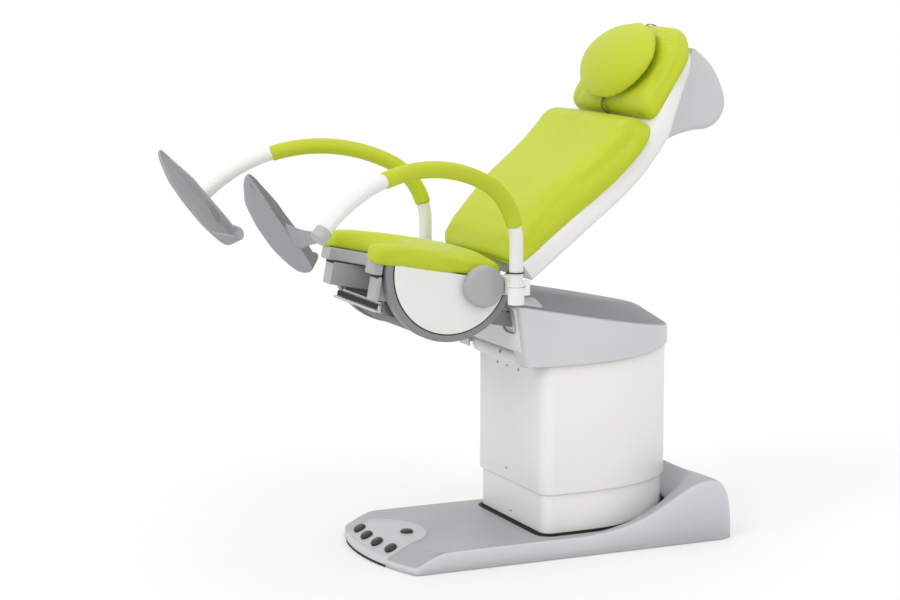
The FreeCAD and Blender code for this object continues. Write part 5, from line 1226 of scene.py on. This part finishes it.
# elastic band of the pillow: up through the gap between the pads, over the head pad and down behind it
band = {"width": 12, "thickness": 1.8, "padTop": 58.5, "start": bendEnd + 9, "end": backLength + 25}
start, end, padTop = band["start"], band["end"], band["padTop"]
bandSpots = np.array([(start, 2), (start, 40), (start + 8, padTop - 6), (start + 40, padTop + 3),
                      (end - 45, padTop + 3), (end - 2, padTop - 12), (end + 5, 25), (end + 2, 2),
                      (backLength + 2, -12)])
route = evenLine(bandSpots, 160, 6)
bandPath = onBack(route[:, 0], np.zeros(len(route)), route[:, 1])
halfWidth, halfThickness = band["width"] / 2, band["thickness"] / 2
bandEdge = evenLoop(rectangle((-halfWidth, halfWidth), (-halfThickness, halfThickness)), 48, 2)
settle(sweep("pillowBand", bandPath, (0, 1, 0), bandEdge), "backrest", "cord_black", "pillow_cord")
print("cushions")


# camera, light and floor

viewer = {"place": (-3.071, -5.955, 1.724), "down": 8.823, "turn": 24.317, "lens": 94.238, "sensor": 36}
light = {"sky": 0.36, "zenith": 1.15, "key": 0.28, "keyTurn": (60, 0, 12), "fill": 0.65,
         "fillTurn": (60, 0, -72), "softness": 40, "floorLift": 0.16, "floorGrey": 0.78, "floorReach": 40000}
white = (1, 1, 1, 1)
camera = newObject("camera", bpy.data.cameras.new("camera"))
camera.location = viewer["place"]
camera.rotation_euler = (math.radians(90 - viewer["down"]), 0, -math.radians(viewer["turn"]))
camera.data.lens = viewer["lens"]
camera.data.sensor_width = viewer["sensor"]
camera.data.clip_end = 60
scene.camera = camera

# sky that is plain white where it is seen or mirrored, and lights from its zenith more than from its rim
world = bpy.data.worlds.new("studio")
world.use_nodes = True
scene.world = world
tree = world.node_tree
tree.nodes.clear()
path = addNode(tree, "ShaderNodeLightPath").outputs
seen = path["Is Camera Ray"]
for ray in ("Is Glossy Ray", "Is Transmission Ray"):
    seen = addNode(tree, "ShaderNodeMath", {"operation": "MAXIMUM"}, {0: seen, 1: path[ray]}).outputs[0]
way = addNode(tree, "ShaderNodeTexCoord").outputs["Generated"]
height = addNode(tree, "ShaderNodeSeparateXYZ", None, {0: way}).outputs["Z"]
dome = addNode(tree, "ShaderNodeMapRange", {1: 0.1, 2: 0.8, 3: light["sky"], 4: light["zenith"]}, {0: height})
strength = addNode(tree, "ShaderNodeMapRange", {4: 1.0}, {0: seen, 3: dome.outputs[0]})
sky = addNode(tree, "ShaderNodeBackground", {"Color": white}, {"Strength": strength.outputs[0]})
addNode(tree, "ShaderNodeOutputWorld", None, {"Surface": sky.outputs[0]})
for name in ("key", "fill"):
    lamp = bpy.data.lights.new(name, "SUN")
    lamp.energy = light[name]
    lamp.angle = math.radians(light["softness"])
    newObject(name, lamp).rotation_euler = [math.radians(angle) for angle in light[name + "Turn"]]

# pale floor, lifted a little where the camera sees it so that only the soft shadow shows
reach = light["floorReach"]
floorPoints = np.pad(rectangle((-reach, reach), (-reach, reach)), ((0, 0), (0, 1)))
floor = makeMesh("floor", floorPoints, [[0, 1, 2, 3]])
material, tree = blankMaterial("paleFloor")
path = addNode(tree, "ShaderNodeLightPath").outputs
paint = addNode(tree, "ShaderNodeBsdfDiffuse", {"Color": (*[light["floorGrey"]] * 3, 1)})
seen = addNode(tree, "ShaderNodeMath", {"operation": "MULTIPLY", 1: light["floorLift"]},
               {0: path["Is Camera Ray"]})
lift = addNode(tree, "ShaderNodeEmission", {"Color": white}, {"Strength": seen.outputs[0]})
both = addNode(tree, "ShaderNodeAddShader", None, {0: paint.outputs[0], 1: lift.outputs[0]})
addNode(tree, "ShaderNodeOutputMaterial", None, {"Surface": both.outputs[0]})
floor.data.materials.append(material)

scene.view_settings.view_transform = "Standard"
print("scene ready")
